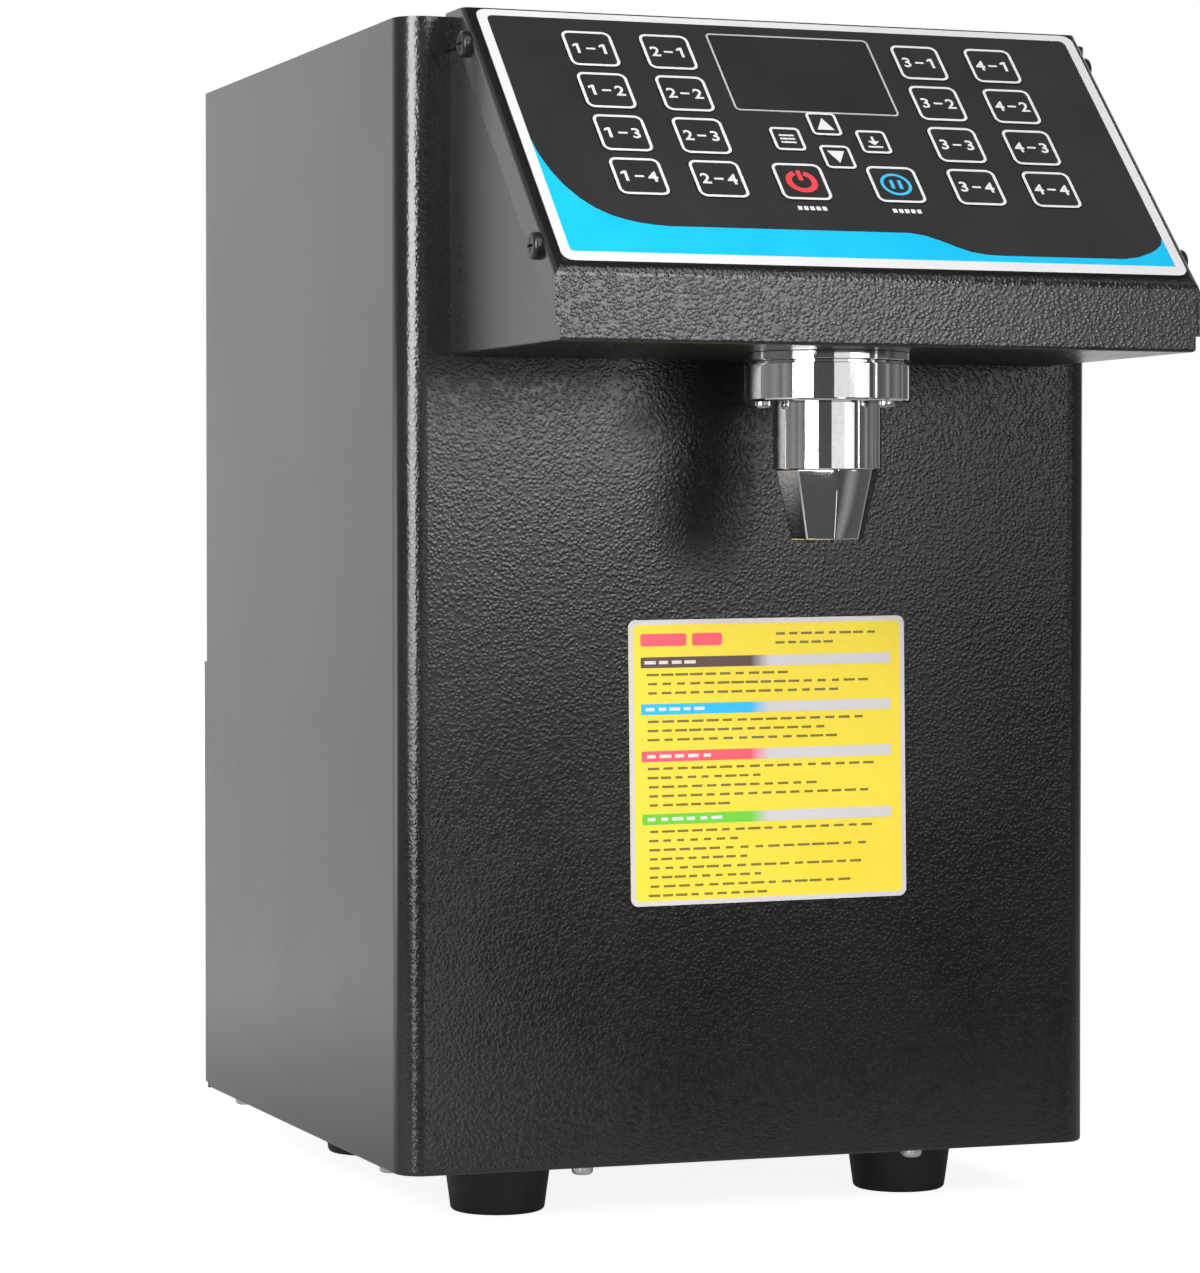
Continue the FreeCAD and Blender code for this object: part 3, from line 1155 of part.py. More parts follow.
def pump_bracket():
    """Angle bracket on the base plate, with the pump on one side and the motor on the other."""
    side = PUMP_DEPTH / 2 + BRACKET_SIDE
    upright = block(PUMP_X1, BRACKET_X, PUMP_Y - side, PUMP_Y + side, FLOOR_Z, PUMP_Z + PUMP_RISE)
    foot = block(PUMP_X1, BRACKET_X + BRACKET_FOOT, PUMP_Y - side, PUMP_Y + side,
                 FLOOR_Z, FLOOR_Z + BRACKET_T)
    bracket = upright.fuse(foot)
    holes = pump_bolt_holes(PUMP_X1, BRACKET_X)
    holes.append(rod(SHAFT_R + SHAFT_HOLE_GAP, BRACKET_T + 2 * BEYOND,
                     point(PUMP_X1 - BEYOND, PUMP_Y, DRIVE_Z), X_AXIS))
    holes += [screw_hole(place, Z_AXIS, BRACKET_T + BEYOND) for place in bracket_screw_places()]
    return single(drilled(bracket, holes))


def motor():
    """Geared motor: gearbox against the bracket, then the can and its rear bearing."""
    def along(length, radius, x):
        return rod(radius, length, point(x, PUMP_Y, DRIVE_Z), X_AXIS)

    can_x = BRACKET_X + GEARBOX_L
    end_x = can_x + MOTOR_CAN_L
    body = along(GEARBOX_L, MOTOR_R, BRACKET_X)
    body = rounded(body, GEARBOX_EDGE_R, lambda edge: edge.BoundBox.XMin > can_x - NEAR)
    can = rounded(along(MOTOR_CAN_L, MOTOR_CAN_R, can_x), MOTOR_CAN_EDGE_R,
                  lambda edge: edge.BoundBox.XMin > end_x - NEAR)
    body = body.fuse(can).fuse(along(MOTOR_BOSS_L, MOTOR_BOSS_R, end_x))
    for side in (-1, 1):
        tag_y = PUMP_Y + side * MOTOR_TAG_SPREAD
        body = body.fuse(block(end_x - BEYOND, end_x + MOTOR_TAG_L, tag_y - MOTOR_TAG_W / 2,
                               tag_y + MOTOR_TAG_W / 2, DRIVE_Z - MOTOR_TAG_T / 2,
                               DRIVE_Z + MOTOR_TAG_T / 2))
    socket = along(MOTOR_SOCKET_L + BEARING_END_GAP, SHAFT_R + SHAFT_FIT, BRACKET_X)
    holes = [rod(SCREW_R + THREAD_FIT, NUT_H + SCREW_END + 2 * BEYOND,
                 point(BRACKET_X - BEYOND, p.y, p.z), X_AXIS) for p in pump_bolt_places()]
    return single(drilled(body.cut(socket), holes))


# ---- electrics ---------------------------------------------------------------------------------
def power_supply():
    """Boxed power supply on the base plate, with vents in its top and a terminal strip."""
    x1 = PUMP_X0 - SUPPLY_GAP - SCREW_HEAD_H
    x0 = x1 - SUPPLY_W
    top = FLOOR_Z + SUPPLY_H
    back = SUPPLY_Y + SUPPLY_D
    body = block(x0, x1, SUPPLY_Y, back, FLOOR_Z, top)
    body = body.cut(block(x0 + SHEET, x1 - SHEET, back - TERMINAL_D, back + BEYOND,
                          FLOOR_Z + TERMINAL_H, top + BEYOND))
    vented = SUPPLY_D - TERMINAL_D - 2 * VENT_MARGIN
    rows = [SUPPLY_Y + VENT_MARGIN + VENT_PITCH * i for i in range(int(vented / VENT_PITCH) + 1)]
    vents = [block(x0 + VENT_MARGIN, x1 - VENT_MARGIN, y, y + VENT_W, top - SHEET, top + BEYOND)
             for y in rows]
    return single(drilled(body, vents))


def inlet_module():
    """Mains inlet with its switch: a flanged body with a socket below and a rocker's pocket."""
    half_w = INLET_W / 2
    half_h = INLET_H / 2
    flange = block(INLET_X - half_w, INLET_X + half_w, COVER_FACE, INLET_FACE,
                   INLET_Z - half_h, INLET_Z + half_h)
    flange = rounded(flange, INLET_CORNER_R, lambda edge: runs_along(edge, Y_AXIS))
    body_w = half_w - INLET_RIM - FIT
    body_h = half_h - INLET_RIM - FIT
    module = flange.fuse(block(INLET_X - body_w, INLET_X + body_w, COVER_FACE - INLET_DEPTH,
                               COVER_FACE, INLET_Z - body_h, INLET_Z + body_h))
    module = module.cut(socket_space())
    for x, z in ((0.0, PIN_SPACING / 2), (-PIN_SPACING, -PIN_L / 2), (PIN_SPACING, -PIN_L / 2)):
        z += INLET_Z - SOCKET_DROP
        x += INLET_X
        module = module.fuse(block(x - PIN_W / 2, x + PIN_W / 2, INLET_FACE - SOCKET_DEPTH,
                                   INLET_FACE - SOCKET_DEPTH + PIN_OUT, z - PIN_L / 2, z + PIN_L / 2))
    pocket_w = ROCKER_W / 2 + ROCKER_GAP
    pocket_h = ROCKER_H / 2 + ROCKER_GAP
    module = module.cut(block(INLET_X - pocket_w, INLET_X + pocket_w, INLET_FACE - ROCKER_DEPTH,
                              INLET_FACE + BEYOND, ROCKER_Z - pocket_h, ROCKER_Z + pocket_h))
    pin_h = ROCKER_H + 2 * (ROCKER_PIVOT_L + ROCKER_GAP)
    module = module.cut(rod(ROCKER_PIVOT_R + SHAFT_FIT, pin_h,
                            point(INLET_X, PIVOT_Y, ROCKER_Z - pin_h / 2)))
    return single(module)


def socket_space():
    """The socket's hollow, its two lower corners cut off."""
    w, h, c = SOCKET_W / 2, SOCKET_H / 2, SOCKET_CHAMFER
    z = INLET_Z - SOCKET_DROP
    y = INLET_FACE - SOCKET_DEPTH
    outline = [(-w, h), (w, h), (w, -h + c), (w - c, -h), (-w + c, -h), (-w, -h + c)]
    return prism([point(INLET_X + dx, y, z + dz) for dx, dz in outline],
                 Y_AXIS * (SOCKET_DEPTH + BEYOND))


def power_rocker():
    """Rocker with a shallow V face, at rest tilted to its off side about a vertical pivot."""
    half = ROCKER_W / 2
    face = INLET_FACE + ROCKER_PROUD - PIVOT_Y
    dip = half * math.tan(math.radians(ROCKER_TILT))
    end = face - ROCKER_END_DROP
    profile = [(-half, end), (0, face - dip), (half, end), (half, 0),
               (ROCKER_KEEL, -ROCKER_KEEL), (-ROCKER_KEEL, -ROCKER_KEEL), (-half, 0)]
    low = -ROCKER_H / 2
    rocker = prism([point(x, y, low) for x, y in profile], Z_AXIS * ROCKER_H)
    pin_h = ROCKER_H + 2 * ROCKER_PIVOT_L
    rocker = rocker.fuse(rod(ROCKER_PIVOT_R, pin_h, point(0, 0, -pin_h / 2)))
    tilt = FreeCAD.Rotation(Z_AXIS, -ROCKER_TILT)
    return placed(single(rocker), FreeCAD.Placement(point(INLET_X, PIVOT_Y, ROCKER_Z), tilt))


def care_card():
    """Thin card stuck on the front wall."""
    card = rounded_plate(CARD_W, CARD_H, CARD_R, CARD_T)
    upright = FreeCAD.Rotation(Y_AXIS, -CARD_TURN).multiply(FreeCAD.Rotation(X_AXIS, 90))
    return placed(card, FreeCAD.Placement(point(CARD_X, 0, CARD_Z), upright))


# ---- writing the parts -------------------------------------------------------------------------
def export(name, shape):
    """Move a shape to the part's own frame and write it."""
    front_y = -HEAD_OUT
    middle_y = (front_y + REAR_Y) / 2
    final = shape.copy()
    final.translate(point(0, -middle_y, FOOT_H))
    final.exportStep(os.path.join("parts", f"{name}.step"))


def main():
    os.makedirs("parts", exist_ok=True)
    pieces = [outer_shell, base_plate, rear_panel, rear_cover, top_deck, rubber_feet, steel_screws,
              head_housing, keypad_panel, head_screws, keypad_overlay, display_window,
              display_module, control_board, key_switches, nozzle_ring, nozzle_collar, nozzle_body,
              nozzle_tip, nozzle_nut, tank, tank_outlet, tank_lid, lid_knob, heater_band,
              suction_hose, delivery_hose, hose_clamps, pump_body, pump_cover, drive_gear,
              driven_gear, pump_bracket, motor, power_supply, inlet_module, power_rocker, care_card]
    for piece in pieces:
        export(piece.__name__, piece())
    for name, *layout in keys():
        export(name, key(*layout))


main()
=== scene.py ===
"""Looks of the fructose dispenser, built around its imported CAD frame.

The scene is in metres in the part's own frame: X to the right, Y to the rear, Z up from the floor.
Sizes in the classes are millimetres, measured from the case: X from its middle, Y from its front
face and Z from its bottom edge.
"""

import json
import logging
from dataclasses import dataclass, field
from math import cos, dist, pi, radians, sin
from typing import Callable, Iterable, Optional, Sequence, Union

import bmesh
import bpy
from bpy.types import Material, Mesh, Node, NodeSocket, NodeTree, Object, World
from mathutils import Euler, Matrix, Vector


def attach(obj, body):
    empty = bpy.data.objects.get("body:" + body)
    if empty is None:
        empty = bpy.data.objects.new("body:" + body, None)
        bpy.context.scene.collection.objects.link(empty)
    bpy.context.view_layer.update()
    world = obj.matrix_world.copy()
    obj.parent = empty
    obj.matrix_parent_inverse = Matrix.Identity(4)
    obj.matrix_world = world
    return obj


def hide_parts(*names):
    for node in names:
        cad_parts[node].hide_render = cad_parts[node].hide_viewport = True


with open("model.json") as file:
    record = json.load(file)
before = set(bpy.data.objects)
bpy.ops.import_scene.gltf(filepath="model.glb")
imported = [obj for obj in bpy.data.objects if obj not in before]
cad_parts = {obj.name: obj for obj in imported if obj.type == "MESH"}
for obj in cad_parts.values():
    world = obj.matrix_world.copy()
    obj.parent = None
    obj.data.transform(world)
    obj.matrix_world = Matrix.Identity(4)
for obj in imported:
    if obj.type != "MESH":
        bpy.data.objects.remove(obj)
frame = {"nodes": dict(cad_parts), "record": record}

log = logging.getLogger("dispenser")

MM = 0.001
CASE_FRONT = -74.75  # case's front face in the part's frame
CASE_BOTTOM = 20.0  # case's bottom edge above the floor
MIDDLE = (0.0, 0.0)

Colour = tuple[float, float, float, float]
Levels = tuple[int, int, int]  # a display colour, each part 0 to 255
Point2 = tuple[float, float]
Point3 = tuple[float, float, float]
Ramp = tuple[float, float, float, float]  # low, high, start and end of Net.ramp
Place = Callable[[float, float, float], Vector]
Value = Union[Node, NodeSocket, float, int, bool, Sequence[float], None]


def tone(levels: Levels) -> Colour:
    """Linear colour of a display colour."""
    shares = [level / 255 for level in levels]
    return (*(s / 12.92 if s <= 0.04045 else ((s + 0.055) / 1.055) ** 2.4 for s in shares), 1.0)


def case_point(x: float, y: float, z: float) -> Vector:
    """Place in the scene of a point given from the case."""
    return Vector((x, y + CASE_FRONT, z + CASE_BOTTOM)) * MM


def linked(name: str, data: object) -> Object:
    """New object in the scene's collection."""
    made = bpy.data.objects.new(name, data)
    bpy.context.scene.collection.objects.link(made)
    return made


# ---- nodes ----
class Net:
    """Adds nodes to a node tree and wires them up; a node used as a value is its first output."""

    def __init__(self, tree: NodeTree) -> None:
        """Start on a tree."""
        self.tree = tree

    @classmethod
    def fresh(cls, owner: Union[Material, World]) -> "Net":
        """Start on the emptied tree of a material or world."""
        owner.use_nodes = True
        owner.node_tree.nodes.clear()
        return cls(owner.node_tree)

    def node(self, kind: str, inputs: Optional[dict[Union[str, int], Value]] = None,
             **settings: object) -> Node:
        """Add a node with values for its inputs, by name or number, and with its own settings.

        A kind without the word Node is a shader node's.
        """
        node = self.tree.nodes.new(kind if "Node" in kind else f"ShaderNode{kind}")
        for name, value in settings.items():
            setattr(node, name, value)
        for name, value in (inputs or {}).items():
            self.feed(node.inputs[name], value)
        return node

    def feed(self, socket: NodeSocket, value: Value) -> None:
        """Link a socket to another one or to a node, or give it a plain value."""
        source = value.outputs[0] if isinstance(value, Node) else value
        if isinstance(source, NodeSocket):
            self.tree.links.new(source, socket)
        elif source is not None:
            socket.default_value = source

    def math(self, kind: str, *values: Value) -> Node:
        """Maths on up to three values."""
        return self.node("Math", dict(enumerate(values)), operation=kind)

    def vector(self, kind: str, first: Value, second: Value) -> Node:
        """Vector maths on two values."""
        return self.node("VectorMath", {0: first, 1: second}, operation=kind)

    def axes(self, value: Value) -> Sequence[NodeSocket]:
        """X, Y and Z of a vector."""
        return self.node("SeparateXYZ", {0: value}).outputs

    def place(self) -> NodeSocket:
        """Object coordinates."""
        return self.node("TexCoord").outputs["Object"]

    def noise(self, place: Value, scale: float, detail: float, rough: float = 0.5) -> Node:
        """Noise at a place."""
        return self.node("TexNoise", {"Vector": place, "Scale": scale, "Detail": detail,
                                      "Roughness": rough})

    def ramp(self, value: Value, low: float, high: float, start: float = 0.0, end: float = 1.0,
             shape: str = "LINEAR") -> Node:
        """Value mapped from low..high to start..end and held there."""
        return self.node("MapRange", dict(enumerate((value, low, high, start, end))),
                         interpolation_type=shape)

    def blend(self, share: Value, first: Value, second: Value) -> NodeSocket:
        """Colour between two colours."""
        return self.node("Mix", {0: share, 6: first, 7: second}, data_type="RGBA").outputs[2]


Wire = Callable[[Net, Sequence[NodeSocket]], dict[str, Value]]
FLOAT, VECTOR, COLOUR = "NodeSocketFloat", "NodeSocketVector", "NodeSocketColor"


@dataclass(frozen=True, eq=False)
class Effect:
    """A shader node group that several finishes share.

    Attributes:
        inputs, outputs: socket type of each input and output.
        wire: adds the group's nodes to its inputs, and gives the value of each output.
    """

    name: str
    inputs: dict[str, str]
    outputs: dict[str, str]
    wire: Wire

    def group(self) -> NodeTree:
        """The group, built the first time that it is asked for."""
        if self.name in bpy.data.node_groups:
            return bpy.data.node_groups[self.name]
        tree = bpy.data.node_groups.new(self.name, "ShaderNodeTree")
        for way, sockets in (("INPUT", self.inputs), ("OUTPUT", self.outputs)):
            for name, kind in sockets.items():
                tree.interface.new_socket(name, in_out=way, socket_type=kind)
        net = Net(tree)
        net.node("NodeGroupOutput", self.wire(net, net.node("NodeGroupInput").outputs))
        return tree

    def use(self, net: Net, values: dict[str, Value]) -> Node:
        """Place the group in a material, with the values that it has an input for."""
        known = {name: value for name, value in values.items() if name in self.inputs}
        return net.node("ShaderNodeGroup", known, node_tree=self.group())


def scaled_place(net: Net, size: Value, stretch: Value) -> Node:
    """Object coordinates in units of size millimetres, stretched along the axes."""
    scaled = net.node("VectorMath", {0: net.place(), "Scale": net.math(
        "DIVIDE", 1 / MM, size)}, operation="SCALE")
    return net.vector("DIVIDE", scaled, stretch)


def mottle(net: Net, given: Sequence[NodeSocket]) -> dict[str, Value]:
    """Cloudy change between two colours and two roughnesses, with a fine grain over it."""
    grain_scale, grain_share, dark_below, light_above = 23.0, 0.35, 0.36, 0.64
    place = scaled_place(net, given["Size"], (1.0, 1.0, 1.0))
    cloud = net.math("MULTIPLY", net.noise(place, 1.0, 3.0), 1 - grain_share)
    mixed = net.math("MULTIPLY_ADD", net.noise(place, grain_scale, 2.0), grain_share, cloud)
    share = net.ramp(mixed, dark_below, light_above)
    spread = net.math("SUBTRACT", given["Rough"], given["Smooth"])
    return {"Colour": net.blend(share, given["Dark"], given["Light"]),
            "Roughness": net.math("MULTIPLY_ADD", share, spread, given["Smooth"])}


def pebble(net: Net, given: Sequence[NodeSocket]) -> dict[str, Value]:
    """Orange-peel relief of a powder coat, fainter on faces that look to the side."""
    bend_scale, bend, bump_radius, ripple_scale, ripple = 0.7, 0.5, 0.8, 2.3, 0.4
    calm_from, calm_to = 0.35, 0.95  # sideways share of the normal
    place = scaled_place(net, given["Size"], given["Stretch"])
    bent = net.vector("MULTIPLY", net.noise(place, bend_scale, 1.0).outputs["Color"], (bend,) * 3)
    cells = net.node("TexVoronoi", {"Vector": net.vector("ADD", place, bent), "Scale": 1.0})
    bumps = net.ramp(cells.outputs["Distance"], 0.0, bump_radius, 1.0, 0.0, "SMOOTHSTEP")
    relief = net.math("MULTIPLY_ADD", net.noise(place, ripple_scale, 2.0), ripple, bumps)
    normal = net.axes(net.node("NewGeometry").outputs["Normal"])
    aside = net.ramp(net.math("ABSOLUTE", normal[0]), calm_from, calm_to)
    calm = net.math("SUBTRACT", 1.0, net.math("MULTIPLY", aside, given["Side Calm"]))
    return {"Height": net.math("MULTIPLY", relief, calm)}


def brushed(net: Net, given: Sequence[NodeSocket]) -> dict[str, Value]:
    """Long fine scratches along one direction."""
    place = scaled_place(net, given["Size"], given["Stretch"])
    return {"Height": net.noise(place, 1.0, 4.0, 0.65)}


RELIEF_INPUTS = {"Size": FLOAT, "Stretch": VECTOR}
MOTTLE = Effect("mottle", {"Dark": COLOUR, "Light": COLOUR, "Size": FLOAT, "Smooth": FLOAT,
                           "Rough": FLOAT}, {"Colour": COLOUR, "Roughness": FLOAT}, mottle)
PEBBLE = Effect("pebble", RELIEF_INPUTS | {"Side Calm": FLOAT}, {"Height": FLOAT}, pebble)
BRUSHED = Effect("brushed", RELIEF_INPUTS, {"Height": FLOAT}, brushed)


@dataclass(frozen=True)
class Finish:
    """A surface finish and the procedural material that shows it.

    Attributes:
        name: the material's name.
        dark, light: the two colours that it wanders between.
        patch: size of the colour's clouds.
        smooth, rough: the two roughnesses that it wanders between.
        grain, depth: size and height of the relief.
        metallic, coat, clear, ior: the shader's own amounts.
        relief: kind of relief.
        stretch: how much longer the relief is along X, Y and Z.
        side_calm: how much of a pebbled relief is lost on faces that look to the side.
    """

    name: str
    dark: Levels
    light: Levels
    patch: float
    smooth: float
    rough: float
    grain: float
    depth: float
    metallic: float = 0.0
    coat: float = 0.0
    clear: float = 0.0
    ior: float = 1.5
    relief: Effect = PEBBLE
    stretch: Point3 = (1.0, 1.0, 1.0)
    side_calm: float = 0.0

    def material(self) -> Material:
        """The material, built the first time that it is asked for."""
        title = f"finish_{self.name}"
        if title in bpy.data.materials:
            return bpy.data.materials[title]
        made = bpy.data.materials.new(title)
        net = Net.fresh(made)
        shader = net.node("BsdfPrincipled", {
            "Metallic": self.metallic, "Coat Weight": self.coat, "Coat Roughness": 0.12,
            "Transmission Weight": self.clear, "IOR": self.ior})
        self.dress(net, shader)
        net.node("OutputMaterial", {"Surface": shader})
        return made

    def dress(self, net: Net, shader: Node) -> None:
        """Wire the colour, roughness and relief to the shader."""
        cloudy = MOTTLE.use(net, {
            "Dark": tone(self.dark), "Light": tone(self.light), "Size": self.patch,
            "Smooth": self.smooth, "Rough": self.rough}).outputs
        height = self.relief.use(net, {
            "Size": self.grain, "Stretch": self.stretch, "Side Calm": self.side_calm})
        bump = net.node("Bump", {"Height": height, "Distance": self.depth * MM})
        net.feed(shader.inputs["Base Color"], cloudy["Colour"])
        net.feed(shader.inputs["Roughness"], cloudy["Roughness"])
        net.feed(shader.inputs["Normal"], bump)


def steel(name: str, level: int, stretch: Point3, smooth: float = 0.28,
          rough: float = 0.38) -> Finish:
    """Bare metal with brushed lines."""
    dark, light = (level - 12, level - 11, level - 9), (level + 8, level + 8, level + 10)
    return Finish(name, dark, light, 60.0, smooth, rough, 0.25, 0.001, metallic=1.0,
                  relief=BRUSHED, stretch=stretch)


def plastic(name: str, dark: Levels, light: Levels) -> Finish:
    """Moulded plastic with a fine spark-eroded grain."""
    return Finish(name, dark, light, 25.0, 0.32, 0.46, 0.45, 0.015)


def ink(name: str, *levels: int) -> Finish:
    """Screen-printed ink, a little uneven."""
    light = tuple(min(255, level + 6) for level in levels)
    return Finish(f"ink_{name}", levels, light, 14.0, 0.4, 0.5, 0.35, 0.006)


# The record's material slots: name, dark and light colours, patch, smooth, rough, grain and depth.
SLOTS: dict[str, Finish] = {finish.name: finish for finish in (
    Finish("black_coat", (17, 17, 18), (23, 23, 24), 70.0, 0.17, 0.24, 1.2, 0.06, ior=1.6,
           side_calm=0.9),
    Finish("black_panel", (18, 18, 19), (24, 24, 25), 50.0, 0.15, 0.22, 1.2, 0.08, ior=1.6,
           side_calm=0.95),
    Finish("printed_film", (33, 33, 33), (37, 37, 37), 30.0, 0.42, 0.5, 0.35, 0.006),
    Finish("key_film", (33, 33, 33), (37, 37, 37), 8.0, 0.4, 0.48, 0.35, 0.006),
    Finish("display_tint", (40, 40, 41), (45, 45, 46), 30.0, 0.1, 0.16, 9.0, 0.004),
    plastic("dark_plastic", (38, 38, 39), (50, 50, 51)),
    Finish("circuit_board", (18, 84, 52), (38, 116, 74), 4.0, 0.25, 0.45, 1.6, 0.03, coat=0.3),
    Finish("black_screw", (24, 24, 25), (34, 34, 35), 3.0, 0.26, 0.36, 0.5, 0.006, ior=1.45),
    Finish("polished_steel", (214, 213, 212), (232, 231, 230), 30.0, 0.03, 0.06, 0.6, 0.0004,
           metallic=1.0, relief=BRUSHED, stretch=(1.0, 1.0, 20.0)),
    steel("bright_screw", 204, (1.0, 1.0, 1.0), 0.16, 0.28),
    steel("tank_steel", 200, (30.0, 30.0, 0.6)),
    steel("lid_steel", 206, (34.0, 0.7, 0.7)),
    Finish("heater_silicone", (178, 84, 40), (206, 104, 56), 20.0, 0.5, 0.64, 1.2, 0.05),
    Finish("hose_silicone", (214, 214, 206), (232, 232, 226), 12.0, 0.24, 0.36, 2.0, 0.02,
           clear=0.25),
    steel("pump_metal", 196, (12.0, 12.0, 0.8), 0.26, 0.4),
    steel("gear_steel", 188, (0.8, 16.0, 0.8), 0.16, 0.3),
    steel("motor_steel", 172, (0.8, 22.0, 0.8), 0.22, 0.36),
    steel("bracket_steel", 180, (20.0, 1.0, 20.0), 0.26, 0.42),
    steel("supply_case", 194, (24.0, 24.0, 1.0), 0.3, 0.46),
    plastic("inlet_plastic", (34, 34, 35), (45, 45, 46)),
    Finish("rocker_plastic", (150, 20, 20), (178, 30, 28), 6.0, 0.14, 0.24, 0.8, 0.008, coat=0.3),
    Finish("foot_rubber", (27, 27, 28), (37, 37, 38), 9.0, 0.42, 0.6, 0.6, 0.03),
    Finish("yellow_card", (240, 214, 60), (244, 220, 70), 35.0, 0.4, 0.5, 0.5, 0.006))}


class Ink:
    """Inks and coats that stand beside the record's slots."""

    border = ink("border", 212, 210, 212)
    blue = ink("blue", 4, 178, 224)
    white = ink("white", 216, 216, 214)
    line = ink("line", 178, 177, 175)
    red = ink("red", 240, 62, 72)
    sky = ink("sky", 56, 178, 226)
    grey = ink("grey", 205, 200, 204)
    text = ink("text", 122, 106, 52)
    brown = ink("brown", 92, 70, 64)
    cyan = ink("cyan", 40, 184, 234)
    rose = ink("rose", 245, 90, 105)
    green = ink("green", 110, 200, 55)
    wrinkle = Finish(
        "wrinkle_coat", (27, 27, 28), (34, 34, 35), 60.0, 0.26, 0.32, 1.15, 0.1, ior=1.7,
        stretch=(1.15, 1.0, 0.95), side_calm=0.88)


@dataclass(frozen=True)
class FadingInk(Finish):
    """Printed bar whose colour turns grey along X, half of it at fade_at, in metres."""

    fade_at: float = 0.0
    fade_over: float = 0.007
    grey: Levels = (208, 204, 206)

    @classmethod
    def of(cls, plain: Finish, fade_at: float) -> "FadingInk":
        """Fading ink of a plain one's colour."""
        return cls(**{**vars(plain), "name": f"fading_{plain.name}", "fade_at": fade_at})

    def dress(self, net: Net, shader: Node) -> None:
        """Wire the finish, with the fade over its colour."""
        super().dress(net, shader)
        colour = shader.inputs["Base Color"]
        half = self.fade_over / 2
        share = net.ramp(net.axes(net.place())[0], self.fade_at - half, self.fade_at + half)
        net.feed(colour, net.blend(share, colour.links[0].from_socket, tone(self.grey)))


# ---- meshes ----
@dataclass
class Shape:
    """Vertices and faces that a piece is gathered from, and each face's finish."""

    points: list[Vector] = field(default_factory=list)
    faces: list[tuple[int, ...]] = field(default_factory=list)
    finishes: list[Finish] = field(default_factory=list)

    def add(self, points: Iterable[Vector], faces: Iterable[Sequence[int]], finish: Finish) -> None:
        """Join on more vertices and the faces between them."""
        first = len(self.points)
        self.points.extend(points)
        for face in faces:
            self.faces.append(tuple(first + number for number in face))
            self.finishes.append(finish)

    def piece(self, name: str, body: str, slot: str, smooth_angle: float = 0.0) -> Object:
        """Make the piece, with its normals outwards, and let it ride on a CAD body.

        Edges flatter than smooth_angle, in degrees, are shaded smooth.
        """
        mesh = bpy.data.meshes.new(name)
        mesh.from_pydata(self.points, [], self.faces)
        numbers = {finish: number for number, finish in enumerate(dict.fromkeys(self.finishes))}
        for finish in numbers:
            mesh.materials.append(finish.material())
        mesh.polygons.foreach_set("material_index", [numbers[finish] for finish in self.finishes])
        work = bmesh.new()
        work.from_mesh(mesh)
        bmesh.ops.remove_doubles(work, verts=work.verts, dist=1e-7)
        bmesh.ops.recalc_face_normals(work, faces=work.faces)
        work.to_mesh(mesh)
        work.free()
        if smooth_angle:
            mesh.shade_smooth()
            mesh.set_sharp_from_angle(angle=radians(smooth_angle))
        made = linked(name, mesh)
        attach(made, body)
        log.info("%s: %d faces on %s", name, len(mesh.polygons), body)
        return made


def rounded_loop(centre: Point2, width: float, height: float, radius: float,
                 steps: int = 6) -> list[Point2]:
    """Rectangle with round corners, anticlockwise from its right side."""
    loop = []
    for corner, (east, north) in enumerate(((1, 1), (-1, 1), (-1, -1), (1, -1))):
        x, y = centre[0] + east * (width / 2 - radius), centre[1] + north * (height / 2 - radius)
        for step in range(steps + 1):
            angle = radians(90 * corner) + radians(90) * step / steps
            loop.append((x + radius * cos(angle), y + radius * sin(angle)))
    return loop


def circle_loop(radius: float, start: float = 0.0, end: float = 360.0) -> list[Point2]:
    """Points along a circle or an arc about the origin, anticlockwise, angles in degrees."""
    steps = 40
    count = steps if end - start >= 360 else steps + 1
    turns = [radians(start + (end - start) * step / steps) for step in range(count)]
    return [(radius * cos(turn), radius * sin(turn)) for turn in turns]


def loop_faces(loops: int, count: int, closed: bool = True) -> list[tuple[int, ...]]:
    """Four-sided faces that join each loop of count points to the next, and the last to the first.

    Where the loops are closed, each loop's last point also joins its first.
    """
    steps = [(i, (i + 1) % count) for i in range(count if closed else count - 1)]
    return [(k * count + i, k * count + j, (k + 1) % loops * count + j, (k + 1) % loops * count + i)
            for k in range(loops) for i, j in steps]


